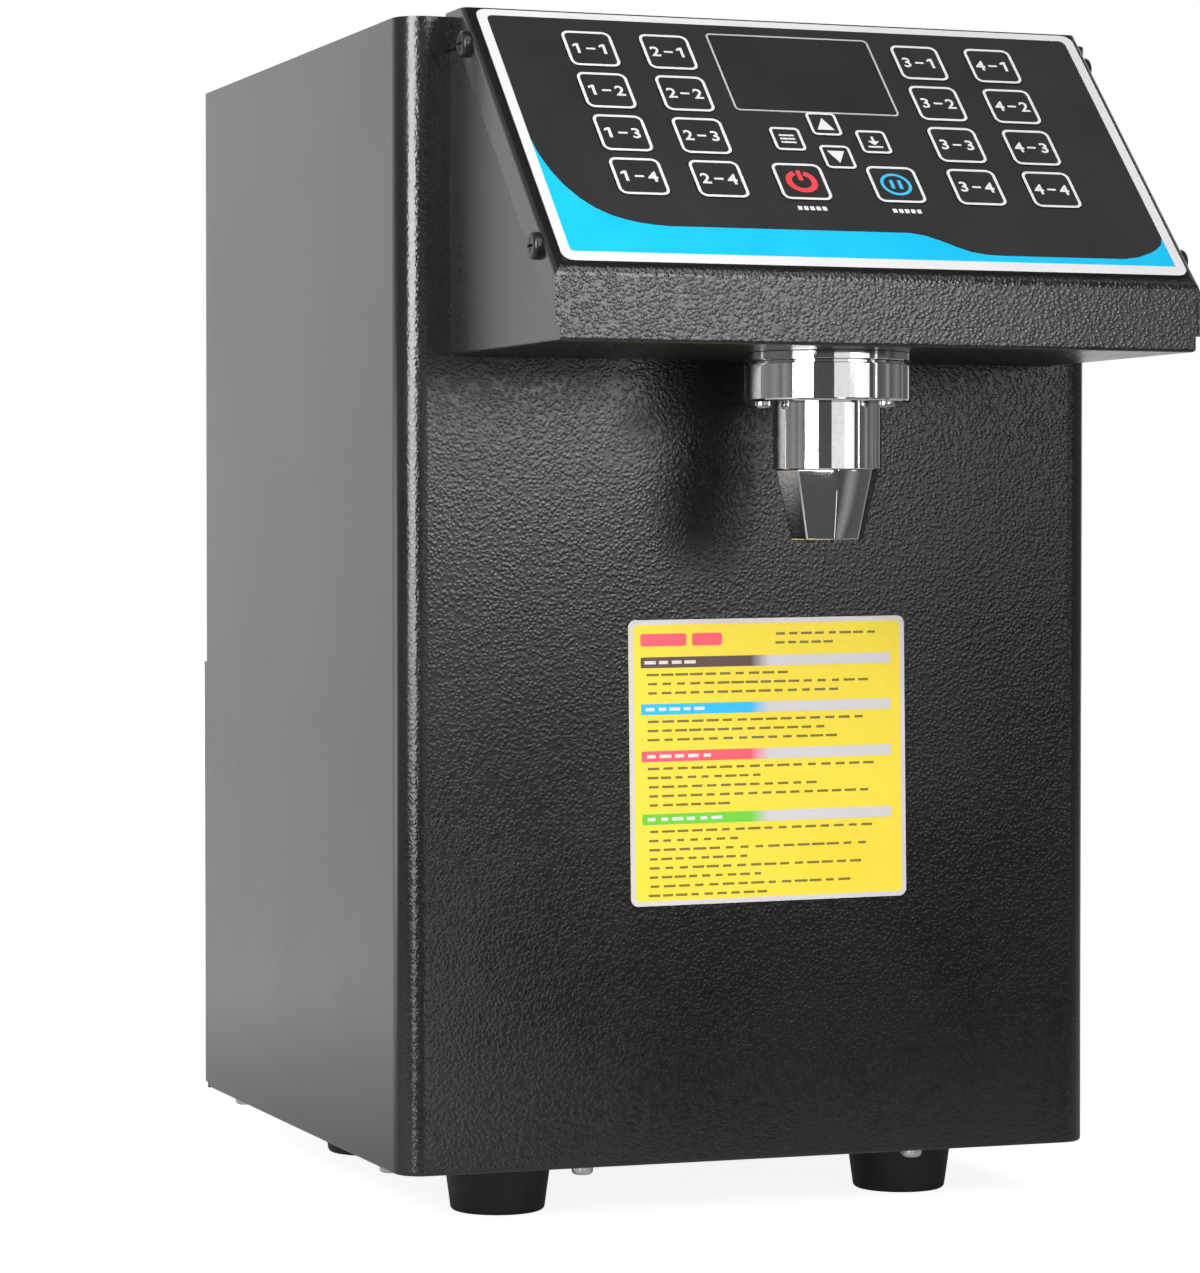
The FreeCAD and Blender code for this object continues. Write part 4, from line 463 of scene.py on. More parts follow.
@dataclass
class Print:
    """Thin print on a plane, laid out in the plane's own millimetres.

    Attributes:
        place: gives the scene's point for two coordinates in the plane and a height above it.
        lift: height of the print's underside above the plane.
        finish: ink of whatever is drawn without another one.
        depth: thickness of the print.
    """

    place: Place
    lift: float
    finish: Finish
    depth: float = 0.03
    shape: Shape = field(default_factory=Shape)

    def strip(self, first: Sequence[Point2], second: Sequence[Point2], closed: bool,
              finish: Optional[Finish] = None) -> None:
        """Solid band between two lines of the same number of points."""
        low, top, count = self.lift, self.lift + self.depth, len(first)
        points = [self.place(x, y, height) for line, height in (
            (first, low), (first, top), (second, top), (second, low)) for x, y in line]
        faces = loop_faces(4, count, closed)
        if not closed:
            faces += [tuple(k * count + end for k in range(4)) for end in (0, count - 1)]
        self.shape.add(points, faces, finish or self.finish)

    def outline(self, loop: Sequence[Point2], finish: Optional[Finish] = None) -> None:
        """Solid print inside a closed loop."""
        count = len(loop)
        points = [self.place(x, y, height) for height in (self.lift, self.lift + self.depth)
                  for x, y in loop]
        faces = [tuple(range(count)), tuple(range(count, 2 * count))]
        faces += [(step, (step + 1) % count, count + (step + 1) % count, count + step)
                  for step in range(count)]
        self.shape.add(points, faces, finish or self.finish)

    def bar(self, centre: Point2, width: float, height: float,
            finish: Optional[Finish] = None) -> None:
        """Solid rectangle with its corners eased."""
        self.outline(rounded_loop(centre, width, height, min(width, height) * 0.18, 2), finish)

    def mesh(self, mesh: Mesh, centre: Point2 = MIDDLE, scale: float = 1.0) -> None:
        """Flat mesh made about the origin, laid at centre, its height spread over the depth."""
        points = [self.place(centre[0] + v.co.x * scale, centre[1] + v.co.y * scale,
                             self.lift + self.depth * min(1.0, max(0.0, v.co.z + 0.5)))
                  for v in mesh.vertices]
        self.shape.add(points, [tuple(face.vertices) for face in mesh.polygons], self.finish)
        bpy.data.meshes.remove(mesh)


def evaluated_mesh(carrier: Object) -> Mesh:
    """Mesh of an object as it is shown; the object itself is removed."""
    graph = bpy.context.evaluated_depsgraph_get()
    mesh = bpy.data.meshes.new_from_object(carrier.evaluated_get(graph))
    bpy.data.objects.remove(carrier)
    return mesh


def glyph(character: str) -> tuple[Mesh, float]:
    """Mesh of a character about the origin, one unit thick, and the character's height in it."""
    curve = bpy.data.curves.new("glyph", "FONT")
    curve.body = character
    curve.offset = 0.02  # thickens the strokes
    curve.extrude = 0.5
    curve.resolution_u = 3
    mesh = evaluated_mesh(linked("glyph", curve))
    xs = [v.co.x for v in mesh.vertices]
    ys = [v.co.y for v in mesh.vertices]
    middle = Vector(((min(xs) + max(xs)) / 2, (min(ys) + max(ys)) / 2, 0))
    for vertex in mesh.vertices:
        vertex.co -= middle
    return mesh, max(ys) - min(ys)


class Tree:
    """A Geometry Nodes tree that makes a repeated or ruled shape about the origin."""

    def __init__(self, name: str, sizes: dict[str, float]) -> None:
        """Start a tree whose inputs are the sizes, each with its default."""
        self.group = bpy.data.node_groups.new(name, "GeometryNodeTree")
        self.net = Net(self.group)
        sockets = self.group.interface
        for size, default in sizes.items():
            kind = "NodeSocketInt" if isinstance(default, int) else FLOAT
            sockets.new_socket(size, in_out="INPUT", socket_type=kind).default_value = default
        sockets.new_socket("Finish", in_out="INPUT", socket_type="NodeSocketMaterial")
        sockets.new_socket("Geometry", in_out="OUTPUT", socket_type="NodeSocketGeometry")
        self.sizes = self.net.node("NodeGroupInput").outputs

    def close(self, geometry: Node) -> None:
        """End the tree in Realize Instances and Set Material."""
        real = self.net.node("GeometryNodeRealizeInstances", {0: geometry})
        dressed = self.net.node("GeometryNodeSetMaterial", {
            0: real, "Material": self.sizes["Finish"]})
        self.net.node("NodeGroupOutput", {0: dressed})

    def mesh(self, finish: Finish, **sizes: float) -> Mesh:
        """Plain mesh of the tree's result with the sizes given, its height one unit about zero."""
        carrier = linked("carrier", bpy.data.meshes.new("carrier"))
        modifier = carrier.modifiers.new("tree", "NODES")
        modifier.node_group = self.group
        values = {**sizes, "Finish": finish.material()}
        for item in self.group.interface.items_tree:
            if item.in_out == "INPUT" and item.name in values:
                modifier[item.identifier] = values[item.name]
        return evaluated_mesh(carrier)


def key_line_tree() -> Tree:
    """Tree of a key's printed outline: a line of even width round a rounded rectangle."""
    tree = Tree("key_line", {"Width": 17.0, "Height": 17.5, "Corner": 2.8, "Line": 1.0})
    net, sizes = tree.net, tree.sizes
    path = net.node("GeometryNodeCurvePrimitiveQuadrilateral", {
        side: net.math("SUBTRACT", sizes[side], sizes["Line"]) for side in ("Width", "Height")})
    inset = net.math("MULTIPLY_ADD", sizes["Line"], -0.5, sizes["Corner"])
    fillet = net.node("GeometryNodeFilletCurve", {"Curve": path, "Count": 6, "Radius": inset},
                      mode="POLY")
    section = net.node("GeometryNodeCurvePrimitiveQuadrilateral", {
        "Width": sizes["Line"], "Height": 1.0})
    tree.close(net.node("GeometryNodeCurveToMesh", {"Curve": fillet, "Profile Curve": section}))
    return tree


def ruled_words_tree() -> Tree:
    """Tree of a ruled line that is broken into dashes of uneven length."""
    tree = Tree("ruled_words", {"Width": 80.0, "Words": 9, "Stroke": 0.9, "Seed": 1})
    net, sizes = tree.net, tree.sizes

    def joined(*parts: Value) -> Node:
        """Vector of up to three parts."""
        return net.node("CombineXYZ", dict(enumerate(parts)))

    pitch = net.math("DIVIDE", sizes["Width"], sizes["Words"])
    first = net.math("MULTIPLY", net.math("SUBTRACT", pitch, sizes["Width"]), 0.5)
    row = net.node("GeometryNodeMeshLine", {
        "Count": sizes["Words"], "Start Location": joined(first), "Offset": joined(pitch)})
    dash = net.node("GeometryNodeMeshCube", {"Size": joined(pitch, sizes["Stroke"], 1.0)})
    length = net.node("FunctionNodeRandomValue", {2: 0.5, 3: 0.9, "Seed": sizes["Seed"]})
    tree.close(net.node("GeometryNodeInstanceOnPoints", {
        "Points": row, "Instance": dash, "Scale": joined(length.outputs[1], 1.0, 1.0)}))
    return tree


# ---- keypad ----
@dataclass(frozen=True)
class Slope:
    """The sloping plate that carries the keypad.

    Attributes:
        angle: the slope's rise, in degrees.
        front, foot: Y and Z of its lower edge, from the case.
    """

    angle: float = 45.16
    front: float = -107.0
    foot: float = 290.5

    def point(self, across: float, up: float, out: float) -> Vector:
        """Scene point at across and up the slope, and out from it."""
        rise, run = sin(radians(self.angle)), cos(radians(self.angle))
        return case_point(across, self.front + up * run - out * rise,
                          self.foot + up * rise + out * run)

    def around(self, centre: Point2) -> Place:
        """The same, with across and up counted from a centre."""
        return lambda x, y, out: self.point(centre[0] + x, centre[1] + y, out)


@dataclass
class KeypadFilm:
    """Print on the keypad's film: grey border, blue band, display line and small marks."""

    slope: Slope
    half_width: float = 106.3
    low: float = 2.8
    high: float = 124.52
    corner: float = 3.6
    border: float = 3.3
    top_border: float = 3.0
    bottom_border: float = 4.2
    inner_corner: float = 2.2
    face: float = 0.8  # film's face above the plate
    blue_edge: tuple[Point2, ...] = (
        (-103.0, 60.0), (-102.0, 52.0), (-100.0, 44.5), (-97.2, 37.6), (-93.5, 31.6), (-89.8, 27.6),
        (-85.5, 24.4), (-81.2, 22.4), (-76.5, 21.0), (-72.0, 20.2), (-67.0, 19.8), (14.0, 19.8),
        (19.0, 18.6), (23.5, 16.4), (28.0, 13.7), (32.3, 11.5), (37.0, 10.4), (42.0, 10.0),
        (86.0, 10.0), (91.5, 11.2), (96.5, 13.4), (99.2, 15.2), (101.5, 17.4), (103.0, 20.8))
    display_centre: Point2 = (0.0, 97.52)
    display_size: Point2 = (57.6, 39.2)
    display_line: float = 0.7
    display_corners: Point2 = (1.8, 1.2)  # outside and inside the line
    mark_drop: float = 12.6  # small marks below the power and pause keys
    mark_pitch: float = 2.1
    mark_size: Point2 = (1.5, 1.9)

    def build(self) -> None:
        """Make the print."""
        work = Print(self.slope.point, self.face, Ink.border)
        low, high = self.low + self.bottom_border, self.high - self.top_border
        work.strip(rounded_loop((0.0, (self.low + self.high) / 2), 2 * self.half_width,
                                self.high - self.low, self.corner),
                   rounded_loop((0.0, (low + high) / 2), 2 * (self.half_width - self.border),
                                high - low, self.inner_corner), True)
        work.strip(self.blue_edge, [(x, low) for x, _ in self.blue_edge], False, Ink.blue)
        outside, inside = (
            rounded_loop(self.display_centre, *(size - inset for size in self.display_size), corner)
            for inset, corner in zip((0.0, 2 * self.display_line), self.display_corners))
        work.strip(outside, inside, True, Ink.line)
        for key in (KEYS["key_power"], KEYS["key_pause"]):
            for step in (-2, -1, 0, 1, 2):
                work.bar((key.centre[0] + step * self.mark_pitch, key.centre[1] - self.mark_drop),
                         *self.mark_size, Ink.white)
        work.shape.piece("film_print", "case", "printed_film")


@dataclass(frozen=True)
class Key:
    """One membrane key: its middle on the slope, size, outline and a portion key's numbers."""

    centre: Point2
    size: Point2 = (17.0, 17.5)
    corner: float = 2.8
    line: float = 1.0
    numbers: tuple[int, int] = (0, 0)


KEYS: dict[str, Key] = {
    f"key_{column}_{row}": Key((across, up), numbers=(column, row))
    for column, across in enumerate((-71.2, -44.5, 44.5, 71.2), 1)
    for row, up in enumerate((106.02, 85.02, 64.02, 43.02), 1)}
KEYS |= {f"key_{sign}": Key((across, up), (10.5, 11.3), 1.8, 0.95) for sign, across, up in (
    ("set", -15.0, 64.02), ("save", 15.0, 64.02), ("up", 0.0, 72.22), ("down", 0.0, 55.82))}
KEYS |= {"key_power": Key((-16.3, 43.02)), "key_pause": Key((16.3, 43.02))}


@dataclass
class KeyPrints:
    """Outline and sign on each key, riding with the key."""

    slope: Slope
    face: float = 1.1  # keys' face above the plate
    digit_height: float = 4.9
    digit_aside: float = 4.5
    one: tuple[Point2, ...] = (  # outline of a 1 with its flag
        (-0.35, -2.45), (0.65, -2.45), (0.65, 2.45), (-0.2, 2.45), (-1.5, 1.65), (-1.5, 0.7),
        (-0.35, 1.3))
    dash: Point2 = (3.1, 0.85)
    arrow: Point2 = (6.0, 5.9)
    rule: Point2 = (5.2, 0.8)  # bars on the set-up keys
    rule_pitch: float = 1.7
    stem: Point2 = (0.9, 2.6)  # arrow down onto a line: upright, its rise, head and line
    stem_rise: float = 1.35
    head: tuple[Point2, ...] = ((-2.0, 0.4), (0.0, -1.7), (2.0, 0.4))
    line_drop: float = 2.5
    ring_radius: float = 5.3
    power_line: float = 2.0  # width of its ring
    power_gap: Point2 = (112, 428)  # ends of the broken ring, in degrees
    power_bar: Point2 = (1.5, 4.9)
    power_rise: float = 2.9
    pause_line: float = 1.1
    pause_bar: Point2 = (1.2, 4.2)
    pause_aside: float = 1.4

    def build(self) -> None:
        """Make the print of every key."""
        tree = key_line_tree()
        signs = {"key_set": self.set, "key_save": self.save, "key_up": self.up,
                 "key_down": lambda work: self.up(work, -1), "key_power": self.power,
                 "key_pause": self.pause}
        for name, key in KEYS.items():
            work = Print(self.slope.around(key.centre), self.face, Ink.white)
            work.mesh(tree.mesh(work.finish, Width=key.size[0], Height=key.size[1],
                                Corner=key.corner, Line=key.line))
            if name in signs:
                signs[name](work)
            else:
                self.number(work, key.numbers)
            work.shape.piece(f"print_{name}", name, "key_film")

    def number(self, work: Print, numbers: tuple[int, int]) -> None:
        """Portion number, such as 2-3."""
        for side, digit in zip((-1, 1), numbers):
            aside = side * self.digit_aside
            if digit == 1:
                work.outline([(aside + x, y) for x, y in self.one])
                continue
            mesh, height = glyph(str(digit))
            work.mesh(mesh, (aside, 0.0), self.digit_height / height)
        work.bar(MIDDLE, *self.dash)

    def up(self, work: Print, side: int = 1) -> None:
        """Arrowhead, pointing up unless side is -1."""
        x, y = self.arrow[0] / 2, side * self.arrow[1] / 2
        work.outline([(-x, -y), (x, -y), (0.0, y)])

    def set(self, work: Print) -> None:
        """Three short bars, as on a list of settings."""
        for step in (-1, 0, 1):
            work.bar((0.0, self.rule_pitch * step), *self.rule)

    def save(self, work: Print) -> None:
        """Arrow down onto a line, as for putting a setting away."""
        work.bar((0.0, self.stem_rise), *self.stem)
        work.outline(self.head)
        work.bar((0.0, -self.line_drop), *self.rule)

    def power(self, work: Print) -> None:
        """Broken ring with an upright bar in its gap."""
        work.strip(*(circle_loop(self.ring_radius - inset, *self.power_gap)
                     for inset in (0.0, self.power_line)), False, Ink.red)
        work.bar((0.0, self.power_rise), *self.power_bar, Ink.red)

    def pause(self, work: Print) -> None:
        """Ring with two upright bars."""
        work.strip(*(circle_loop(self.ring_radius - inset) for inset in (0.0, self.pause_line)),
                   True, Ink.sky)
        for side in (-1, 1):
            work.bar((side * self.pause_aside, 0.0), *self.pause_bar, Ink.sky)


# ---- nozzle ----
@dataclass
class Nozzle:
    """Polished nozzle under the head: ring, collar, round body and eight-sided tip.

    Each round part is given by its radius and height.
    """

    back: float = -60.0  # axis from the case's front face
    top: float = 268.5
    neck: float = 12.2  # hole through the ring and collar
    ring: Point2 = (27.0, 2.8)
    groove: Point2 = (25.4, 1.1)
    collar: Point2 = (27.0, 12.1)
    chamfer: float = 0.7
    body: Point2 = (17.5, 21.5)
    tip_height: float = 22.5
    tip_radii: Point2 = (17.0, 11.8)  # to the corners, at its top and bottom
    tip_sides: int = 8
    tip_turn: float = -101.0
    tip_crown: float = 0.12
    bevel: float = 0.55
    ease: float = 0.25  # taken off a turned corner
    bore: float = 8.0
    steps: int = 96
    share_steps: int = 6

    def axis_point(self, radius: float, turn: float, height: float) -> Vector:
        """Scene point at a radius and turn about the nozzle's axis."""
        return case_point(radius * cos(turn), self.back + radius * sin(turn), height)

    def polished(self, points: list[Vector], faces: list[tuple[int, ...]], node: str,
                 smooth_angle: float) -> None:
        """Piece that stands for a CAD node."""
        shape = Shape()
        shape.add(points, faces, SLOTS["polished_steel"])
        made = shape.piece(f"{node}_polished", "case", "polished_steel", smooth_angle)
        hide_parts(node)

    def lathe(self, node: str, outline: Sequence[Point2]) -> None:
        """Turned piece; outline is a closed loop of (radius, height), whose corners are eased."""
        eased: list[Point2] = []
        for number, (radius, height) in enumerate(outline):
            for other in (outline[number - 1], outline[(number + 1) % len(outline)]):
                share = min(0.3, self.ease / dist(other, (radius, height)))
                eased.append((radius + (other[0] - radius) * share,
                              height + (other[1] - height) * share))
        turns = [2 * pi * step / self.steps for step in range(self.steps)]
        points = [self.axis_point(radius, turn, height)
                  for turn in turns for radius, height in eased]
        self.polished(points, loop_faces(self.steps, len(eased)), node, 15.0)

    def build(self) -> None:
        """Make the four pieces, from the head down."""
        level = self.top
        for node, inner, rounds, chamfer in (
                ("nozzle_ring", self.neck, (self.ring, self.groove), 0.0),
                ("nozzle_collar", self.neck, (self.collar,), self.chamfer),
                ("nozzle_body", self.bore, (self.body,), 0.0)):
            outline = [(inner, level)]
            for radius, height in rounds:
                outline += [(radius, level), (radius, level - height)]
                level -= height
            if chamfer:
                outline[-1:] = [(radius, level + chamfer), (radius - chamfer, level)]
            self.lathe(node, outline + [(inner, level)])
        self.build_tip(level)

    def build_tip(self, high: float) -> None:
        """Tapered eight-sided tip with bevelled edges."""
        low = high - self.tip_height
        side_angle = 2 * pi / self.tip_sides
        steps = [(radians(self.tip_turn + 360 * side / self.tip_sides), step / self.share_steps)
                 for side in range(self.tip_sides) for step in range(self.share_steps)]

        def ring(radius: float, height: float) -> list[Vector]:
            """Points along the eight-sided outline, whose sides are a little crowned."""
            points = []
            for turn, share in steps:
                point = self.axis_point(radius, turn, height).lerp(
                    self.axis_point(radius, turn + side_angle, height), share)
                out = (point - self.axis_point(0.0, 0.0, height)).normalized()
                points.append(point + out * (4 * share * (1 - share) * self.tip_crown * MM))
            return points

        def circle(height: float) -> list[Vector]:
            """Points round the bore, in step with the outline's."""
            return [self.axis_point(self.bore, turn + side_angle * share, height)
                    for turn, share in steps]

        loops = [ring(self.tip_radii[0], high), ring(self.tip_radii[1], low), circle(low),
                 circle(high)]
        mesh = bpy.data.meshes.new("tip")
        mesh.from_pydata([point for loop in loops for point in loop], [],
                         loop_faces(len(loops), len(steps)))
        work = bmesh.new()
        work.from_mesh(mesh)
        bmesh.ops.recalc_face_normals(work, faces=work.faces)
        flat = [edge for edge in work.edges
                if edge.calc_face_angle(0.0) < radians(1) and edge.is_manifold]
        bmesh.ops.dissolve_edges(work, edges=flat, use_verts=True)
        axis = self.axis_point(0.0, 0.0, low).xy
        sharp = [edge for edge in work.edges if edge.calc_face_angle(0.0) > radians(20)
                 and all((v.co.xy - axis).length > (self.bore + 1) * MM for v in edge.verts)]
        bmesh.ops.bevel(work, geom=sharp, offset=self.bevel * MM, segments=4, profile=0.5,
                        affect="EDGES", clamp_overlap=True)
        work.to_mesh(mesh)
        work.free()
        self.polished([v.co.copy() for v in mesh.vertices],
                      [tuple(face.vertices) for face in mesh.polygons], "nozzle_tip", 14.0)
        bpy.data.meshes.remove(mesh)


# ---- card ----
@dataclass
class CareCard:
    """Print on the yellow card: border, four coloured bars and ruled lines without words."""

    middle: Point2 = (4.5, 134.8)
    size: Point2 = (100.0, 95.4)
    corners: Point2 = (2.5, 1.54)  # outside and inside the border
    turn: float = 0.7
    face: float = 0.4  # card's face before the case
    border: float = 1.6
    bar_height: float = 3.6
    bar_left: float = -45.8
    bar_right: float = 44.8
    bars: tuple[tuple[float, Finish], ...] = ((33.5, Ink.brown), (17.9, Ink.cyan), (2.2, Ink.rose),
                                           (-18.8, Ink.green))
    coloured: float = 0.47  # share of a bar that is coloured before it turns grey
    lines: tuple[tuple[float, ...], ...] = (  # lengths of the lines below each bar
        (0.62, 0.97, 0.84), (0.95, 0.78, 0.83), (0.99, 0.5, 0.74, 0.97, 0.36),
        (0.98, 0.4, 0.96, 0.44, 0.93, 0.5, 0.88, 0.52))
    line_width: float = 84.0  # length of a whole line
    line_drop: float = 3.05
    stroke: float = 0.8
    bar_stroke: float = 1.1
    line_left: float = 1.6  # from the bars' left end
    under_bar: float = 4.1  # first line below the middle of its bar
    heading_left: float = 1.0
    heading_width: float = 19.0  # of the first bar's
    heading_growth: float = 3.0  # from bar to bar
    word_pitch: float = 5.6
    title: tuple[Point2, ...] = ((-37.6, 16.4), (-22.0, 10.8))
    title_height: float = 41.0
    title_thick: float = 4.2
    note: tuple[Point2, ...] = ((42.4, 38.0), (39.4, 22.0))
    note_left: float = 48.0

    def point(self, x: float, z: float, out: float) -> Vector:
        """Scene point at x and z from the card's middle, out from the case's face."""
        turn = radians(self.turn)
        return case_point(self.middle[0] + x * cos(turn) - z * sin(turn), -out,
                          self.middle[1] + x * sin(turn) + z * cos(turn))

    def build(self) -> None:
        """Make the print."""
        work = Print(self.point, self.face, Ink.grey)
        work.strip(*(rounded_loop(MIDDLE, *(size - inset for size in self.size), corner)
                     for inset, corner in zip((0.0, 2 * self.border), self.corners)), True)
        tree = ruled_words_tree()
        length = self.bar_right - self.bar_left
        middle = (self.bar_left + self.bar_right) / 2
        fade_at = self.point(self.bar_left + length * self.coloured, 0.0, 0.0).x
        for number, (height, bar_ink) in enumerate(self.bars):
            work.outline(rounded_loop((middle, height), length, self.bar_height, 0.3, 2),
                         FadingInk.of(bar_ink, fade_at))
            self.rule(work, tree, Ink.white, (self.heading_left, height),
                      self.heading_width + self.heading_growth * number, self.bar_stroke,
                      40 + number)
            for step, share in enumerate(self.lines[number]):
                self.rule(work, tree, Ink.text,
                          (self.line_left, height - self.under_bar - step * self.line_drop),
                          self.line_width * share, self.stroke, 10 * number + step)
        for x, length in self.title:
            work.bar((x, self.title_height), length, self.title_thick, Ink.rose)
        for step, (height, length) in enumerate(self.note):
            self.rule(work, tree, Ink.text, (self.note_left, height), length, self.stroke,
                      60 + step)
        work.shape.piece("card_print", "case", "yellow_card")

    def rule(self, work: Print, tree: Tree, colour: Finish, start: Point2, length: float,
             stroke: float, seed: int) -> None:
        """One line of dashes, a little above the bars' print; start is from the bars' left end."""
        words = max(3, round(length / self.word_pitch) + 1)
        mesh = tree.mesh(colour, Width=length, Words=words, Stroke=stroke, Seed=seed)
        over = Print(self.point, self.face + work.depth / 2, colour, work.depth, work.shape)
        over.mesh(mesh, (self.bar_left + start[0] + length / 2, start[1]))


# ---- the CAD's own pieces ----
def dress_nodes() -> None:
    """Give every CAD node the finish of its slot."""
    special = {"head_housing": Ink.wrinkle}
    for part in frame["record"]["subparts"]:
        name = part["node"]
        finish = special.get(name, SLOTS[part["material_slot"]])
        shown = frame["nodes"][name]
        if not shown.material_slots:
            shown.data.materials.append(None)
        for place in shown.material_slots:
            place.material = finish.material()
        log.info("%s: %s", name, finish.name)


# ---- studio ----
@dataclass(frozen=True)
class Panel:
    """A soft lamp.

    Attributes:
        turn, rise: direction of its middle from the object, in degrees; turn is from the front
            towards -X.
        away: distance from the object.
        glow: its radiance, where 1 is white.
    """

    name: str
    turn: float
    rise: float
    away: float
    size: Point2
    glow: float

    def build(self, target: Vector) -> None:
        """Hang the lamp and turn it to the target."""
        turn, rise = radians(self.turn), radians(self.rise)
        toward = Vector((-sin(turn) * cos(rise), -cos(turn) * cos(rise), sin(rise)))
        lamp = bpy.data.lights.new(self.name, "AREA")
        lamp.shape = "RECTANGLE"
        lamp.size, lamp.size_y = self.size
        lamp.energy = self.glow * pi * self.size[0] * self.size[1]
        made = linked(self.name, lamp)
        made.location = target + toward * self.away
        made.rotation_euler = toward.to_track_quat("Z", "Y").to_euler()


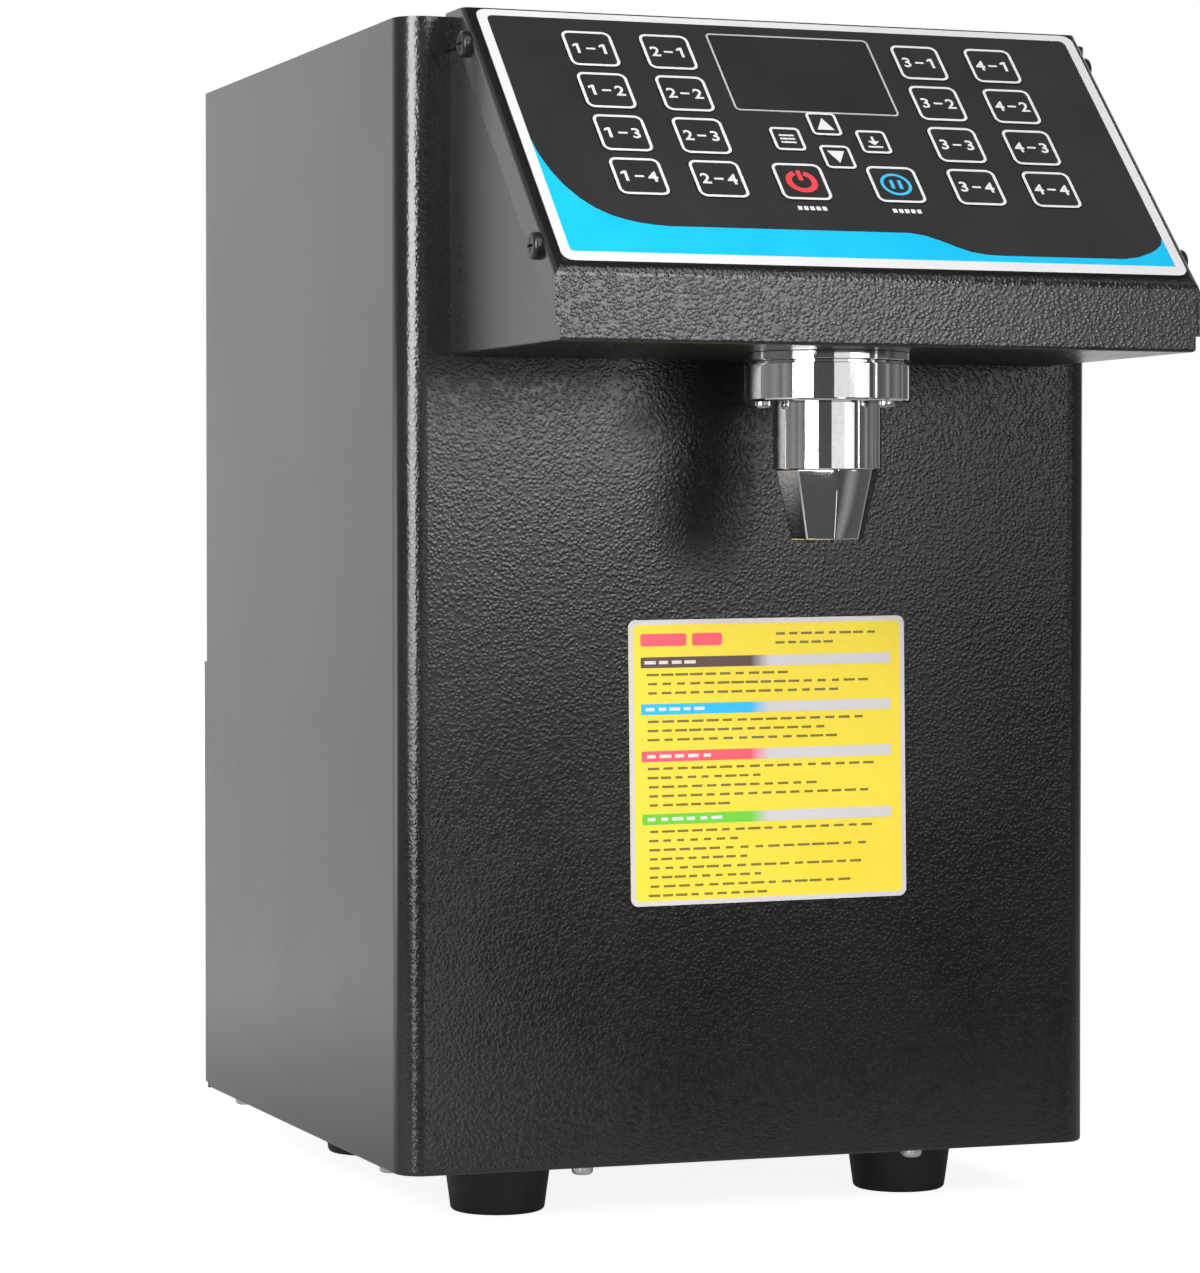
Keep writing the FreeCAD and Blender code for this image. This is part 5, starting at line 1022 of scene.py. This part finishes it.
@dataclass
class Studio:
    """Pale floor, white surroundings, soft lamps and the camera."""

    target: Point3 = (0.0, -0.06, 0.24)
    panels: tuple[Panel, ...] = (
        Panel("lamp_left", 51.8, 16.4, 0.78, (0.37, 0.38), 12.5),
        Panel("lamp_left_low", 51.8, -2.8, 0.76, (0.37, 0.135), 6.4),
        Panel("lamp_left_far", 42.4, -7.4, 2.62, (0.36, 0.33), 8.0),
        Panel("lamp_side", 127.0, -3.5, 1.3, (0.4, 0.3), 1.9),
        Panel("lamp_front", -12.9, 15.0, 0.98, (0.19, 0.34), 8.8),
        Panel("lamp_band", -24.0, 5.0, 1.4, (0.5, 0.2), 1.2),
        Panel("lamp_low", -7.5, 1.0, 1.75, (1.32, 0.3), 0.9),
        Panel("lamp_right", -45.0, 1.0, 1.5, (0.035, 0.4), 5.0),
        Panel("lamp_top", 5.0, 45.0, 1.5, (1.2, 0.8), 3.0),
        Panel("lamp_card", 1.5, -25.0, 0.56, (0.1, 0.16), 1.45),
    )
    camera_place: Point3 = (-0.530555, -1.372174, 0.224174)
    pitch: float = -1.413
    yaw: float = 19.872
    lens: float = 117.917
    shift: Point2 = (0.01266, 0.0155)
    floor_side: float = 4.0
    floor_ends: Point2 = (-0.25, 5.0)
    floor_slant: float = -0.55  # how fast the painted reflection's bright part draws back to the sides
    floor_behind: Ramp = (-0.12, 0.08, 0.2, 1.0)  # painted reflection: what gloss shows of it, front to rear
    floor_away: Ramp = (0.2, 0.75, 0.25, 0.85)  # and away from the object
    floor_seen: Ramp = (0.3, 1.0, 0.89, 1.0)  # what the camera sees, away from it
    mirrored: tuple[Point2, ...] = (  # turn and level of the surroundings that gloss shows
        (-180, 1.0), (-142, 1.0), (-126, 0.75), (-119, 0.12), (-106, 0.12), (-102, 0.3), (-98, 0.1),
        (-88, 0.25), (-74, 0.1), (-68, 0.34), (-62, 0.14), (-50, 0.1), (-46, 0.36), (-42, 0.08),
        (66, 0.1), (76, 0.22), (84, 0.34), (90, 0.18), (98, 0.32), (110, 0.22), (128, 0.3),
        (150, 1.0), (180, 1.0))
    high_share: Ramp = (0.42, 0.77, 1.0, 0.0)  # where they end, by height
    high_level: Ramp = (0.66, 0.86, 0.7, 0.09)  # level above them, by height
    fill_level: float = 0.14  # level that matt surfaces receive

    def build(self) -> None:
        """Make the studio."""
        self.build_camera()
        self.build_floor()
        self.build_world()
        for panel in self.panels:
            panel.build(Vector(self.target))
        bpy.context.scene.view_settings.view_transform = "Standard"

    def build_camera(self) -> None:
        """Camera at the viewing angle."""
        camera = bpy.data.cameras.new("camera")
        camera.lens = self.lens
        camera.shift_x, camera.shift_y = self.shift
        made = linked("camera", camera)
        made.location = self.camera_place
        made.rotation_euler = Euler((radians(90 + self.pitch), 0.0, radians(-self.yaw)))
        bpy.context.scene.camera = made

    def build_floor(self) -> None:
        """Plain pale floor that keeps the object's shadow and runs into a white background.

        For gloss it glows as a painted reflection, bright behind the object and dimmer in front,
        with painted shade close by.
        """
        mesh = bpy.data.meshes.new("floor")
        side, (front, rear) = self.floor_side, self.floor_ends
        corners = [(-side, front, 0), (side, front, 0), (side, rear, 0), (-side, rear, 0)]
        mesh.from_pydata(corners, [], [(0, 1, 2, 3)])
        made = bpy.data.materials.new("floor")
        net = Net.fresh(made)
        path = net.node("LightPath").outputs
        place = net.place()
        across, along, _ = net.axes(place)
        behind = net.math("MULTIPLY_ADD", net.math("ABSOLUTE", across), self.floor_slant, along)
        away = net.node("VectorMath", {0: place}, operation="LENGTH").outputs["Value"]
        # painted reflection with painted shade near the object: a glow that only glossy rays see
        mirrored = net.math("MULTIPLY", net.ramp(behind, *self.floor_behind),
                            net.ramp(away, *self.floor_away))
        seen = net.math("MULTIPLY_ADD", path["Is Camera Ray"], net.ramp(away, *self.floor_seen),
                        net.math("MULTIPLY", path["Is Glossy Ray"], mirrored))
        shader = net.node("BsdfPrincipled", {
            "Base Color": (0.5, 0.5, 0.5, 1.0), "Roughness": 0.8, "Specular IOR Level": 0.1,
            "Emission Color": (1.0, 1.0, 1.0, 1.0), "Emission Strength": seen})
        net.node("OutputMaterial", {"Surface": shader})
        mesh.materials.append(made)
        linked("floor", mesh)

    def build_world(self) -> None:
        """White behind the object and dark before it, and an even fill for matt surfaces."""
        world = bpy.data.worlds.new("studio")
        bpy.context.scene.world = world
        net = Net.fresh(world)
        x, y, z = net.axes(net.node("TexCoord").outputs["Generated"])
        turn = net.math("ARCTAN2", *(net.math("MULTIPLY", part, -1.0) for part in (x, y)))
        around = net.node("ValToRGB", {0: net.ramp(turn, -pi, pi)})
        stops = around.color_ramp.elements
        while len(stops) < len(self.mirrored):
            stops.new(0.5)
        for stop, (degrees, level) in zip(stops, self.mirrored):
            stop.position = (degrees + 180) / 360
            stop.color = (level, level, level, 1.0)

        def between(share: Value, first: Value, second: Value) -> Node:
            """Value between two values, the first where share is 0."""
            return net.math("MULTIPLY_ADD", share, net.math("SUBTRACT", second, first), first)

        above = net.ramp(z, *self.high_level)
        mirrored = between(net.ramp(z, *self.high_share), above, around)
        path = net.node("LightPath").outputs
        shiny = net.math("MAXIMUM", path["Is Glossy Ray"], path["Is Transmission Ray"])
        level = between(path["Is Camera Ray"], between(shiny, self.fill_level, mirrored), 1.0)
        sky = net.node("Background", {"Color": (1.0, 1.0, 1.0, 1.0), "Strength": level})
        net.node("OutputWorld", {"Surface": sky})


def main() -> None:
    """Build the studio, dress the CAD and make the pieces that stand beside it."""
    logging.basicConfig(level=logging.INFO, format="%(name)s: %(message)s")
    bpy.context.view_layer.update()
    Studio().build()
    dress_nodes()
    slope = Slope()
    KeypadFilm(slope).build()
    KeyPrints(slope).build()
    Nozzle().build()
    CareCard().build()


if __name__ == "__main__":
    main()
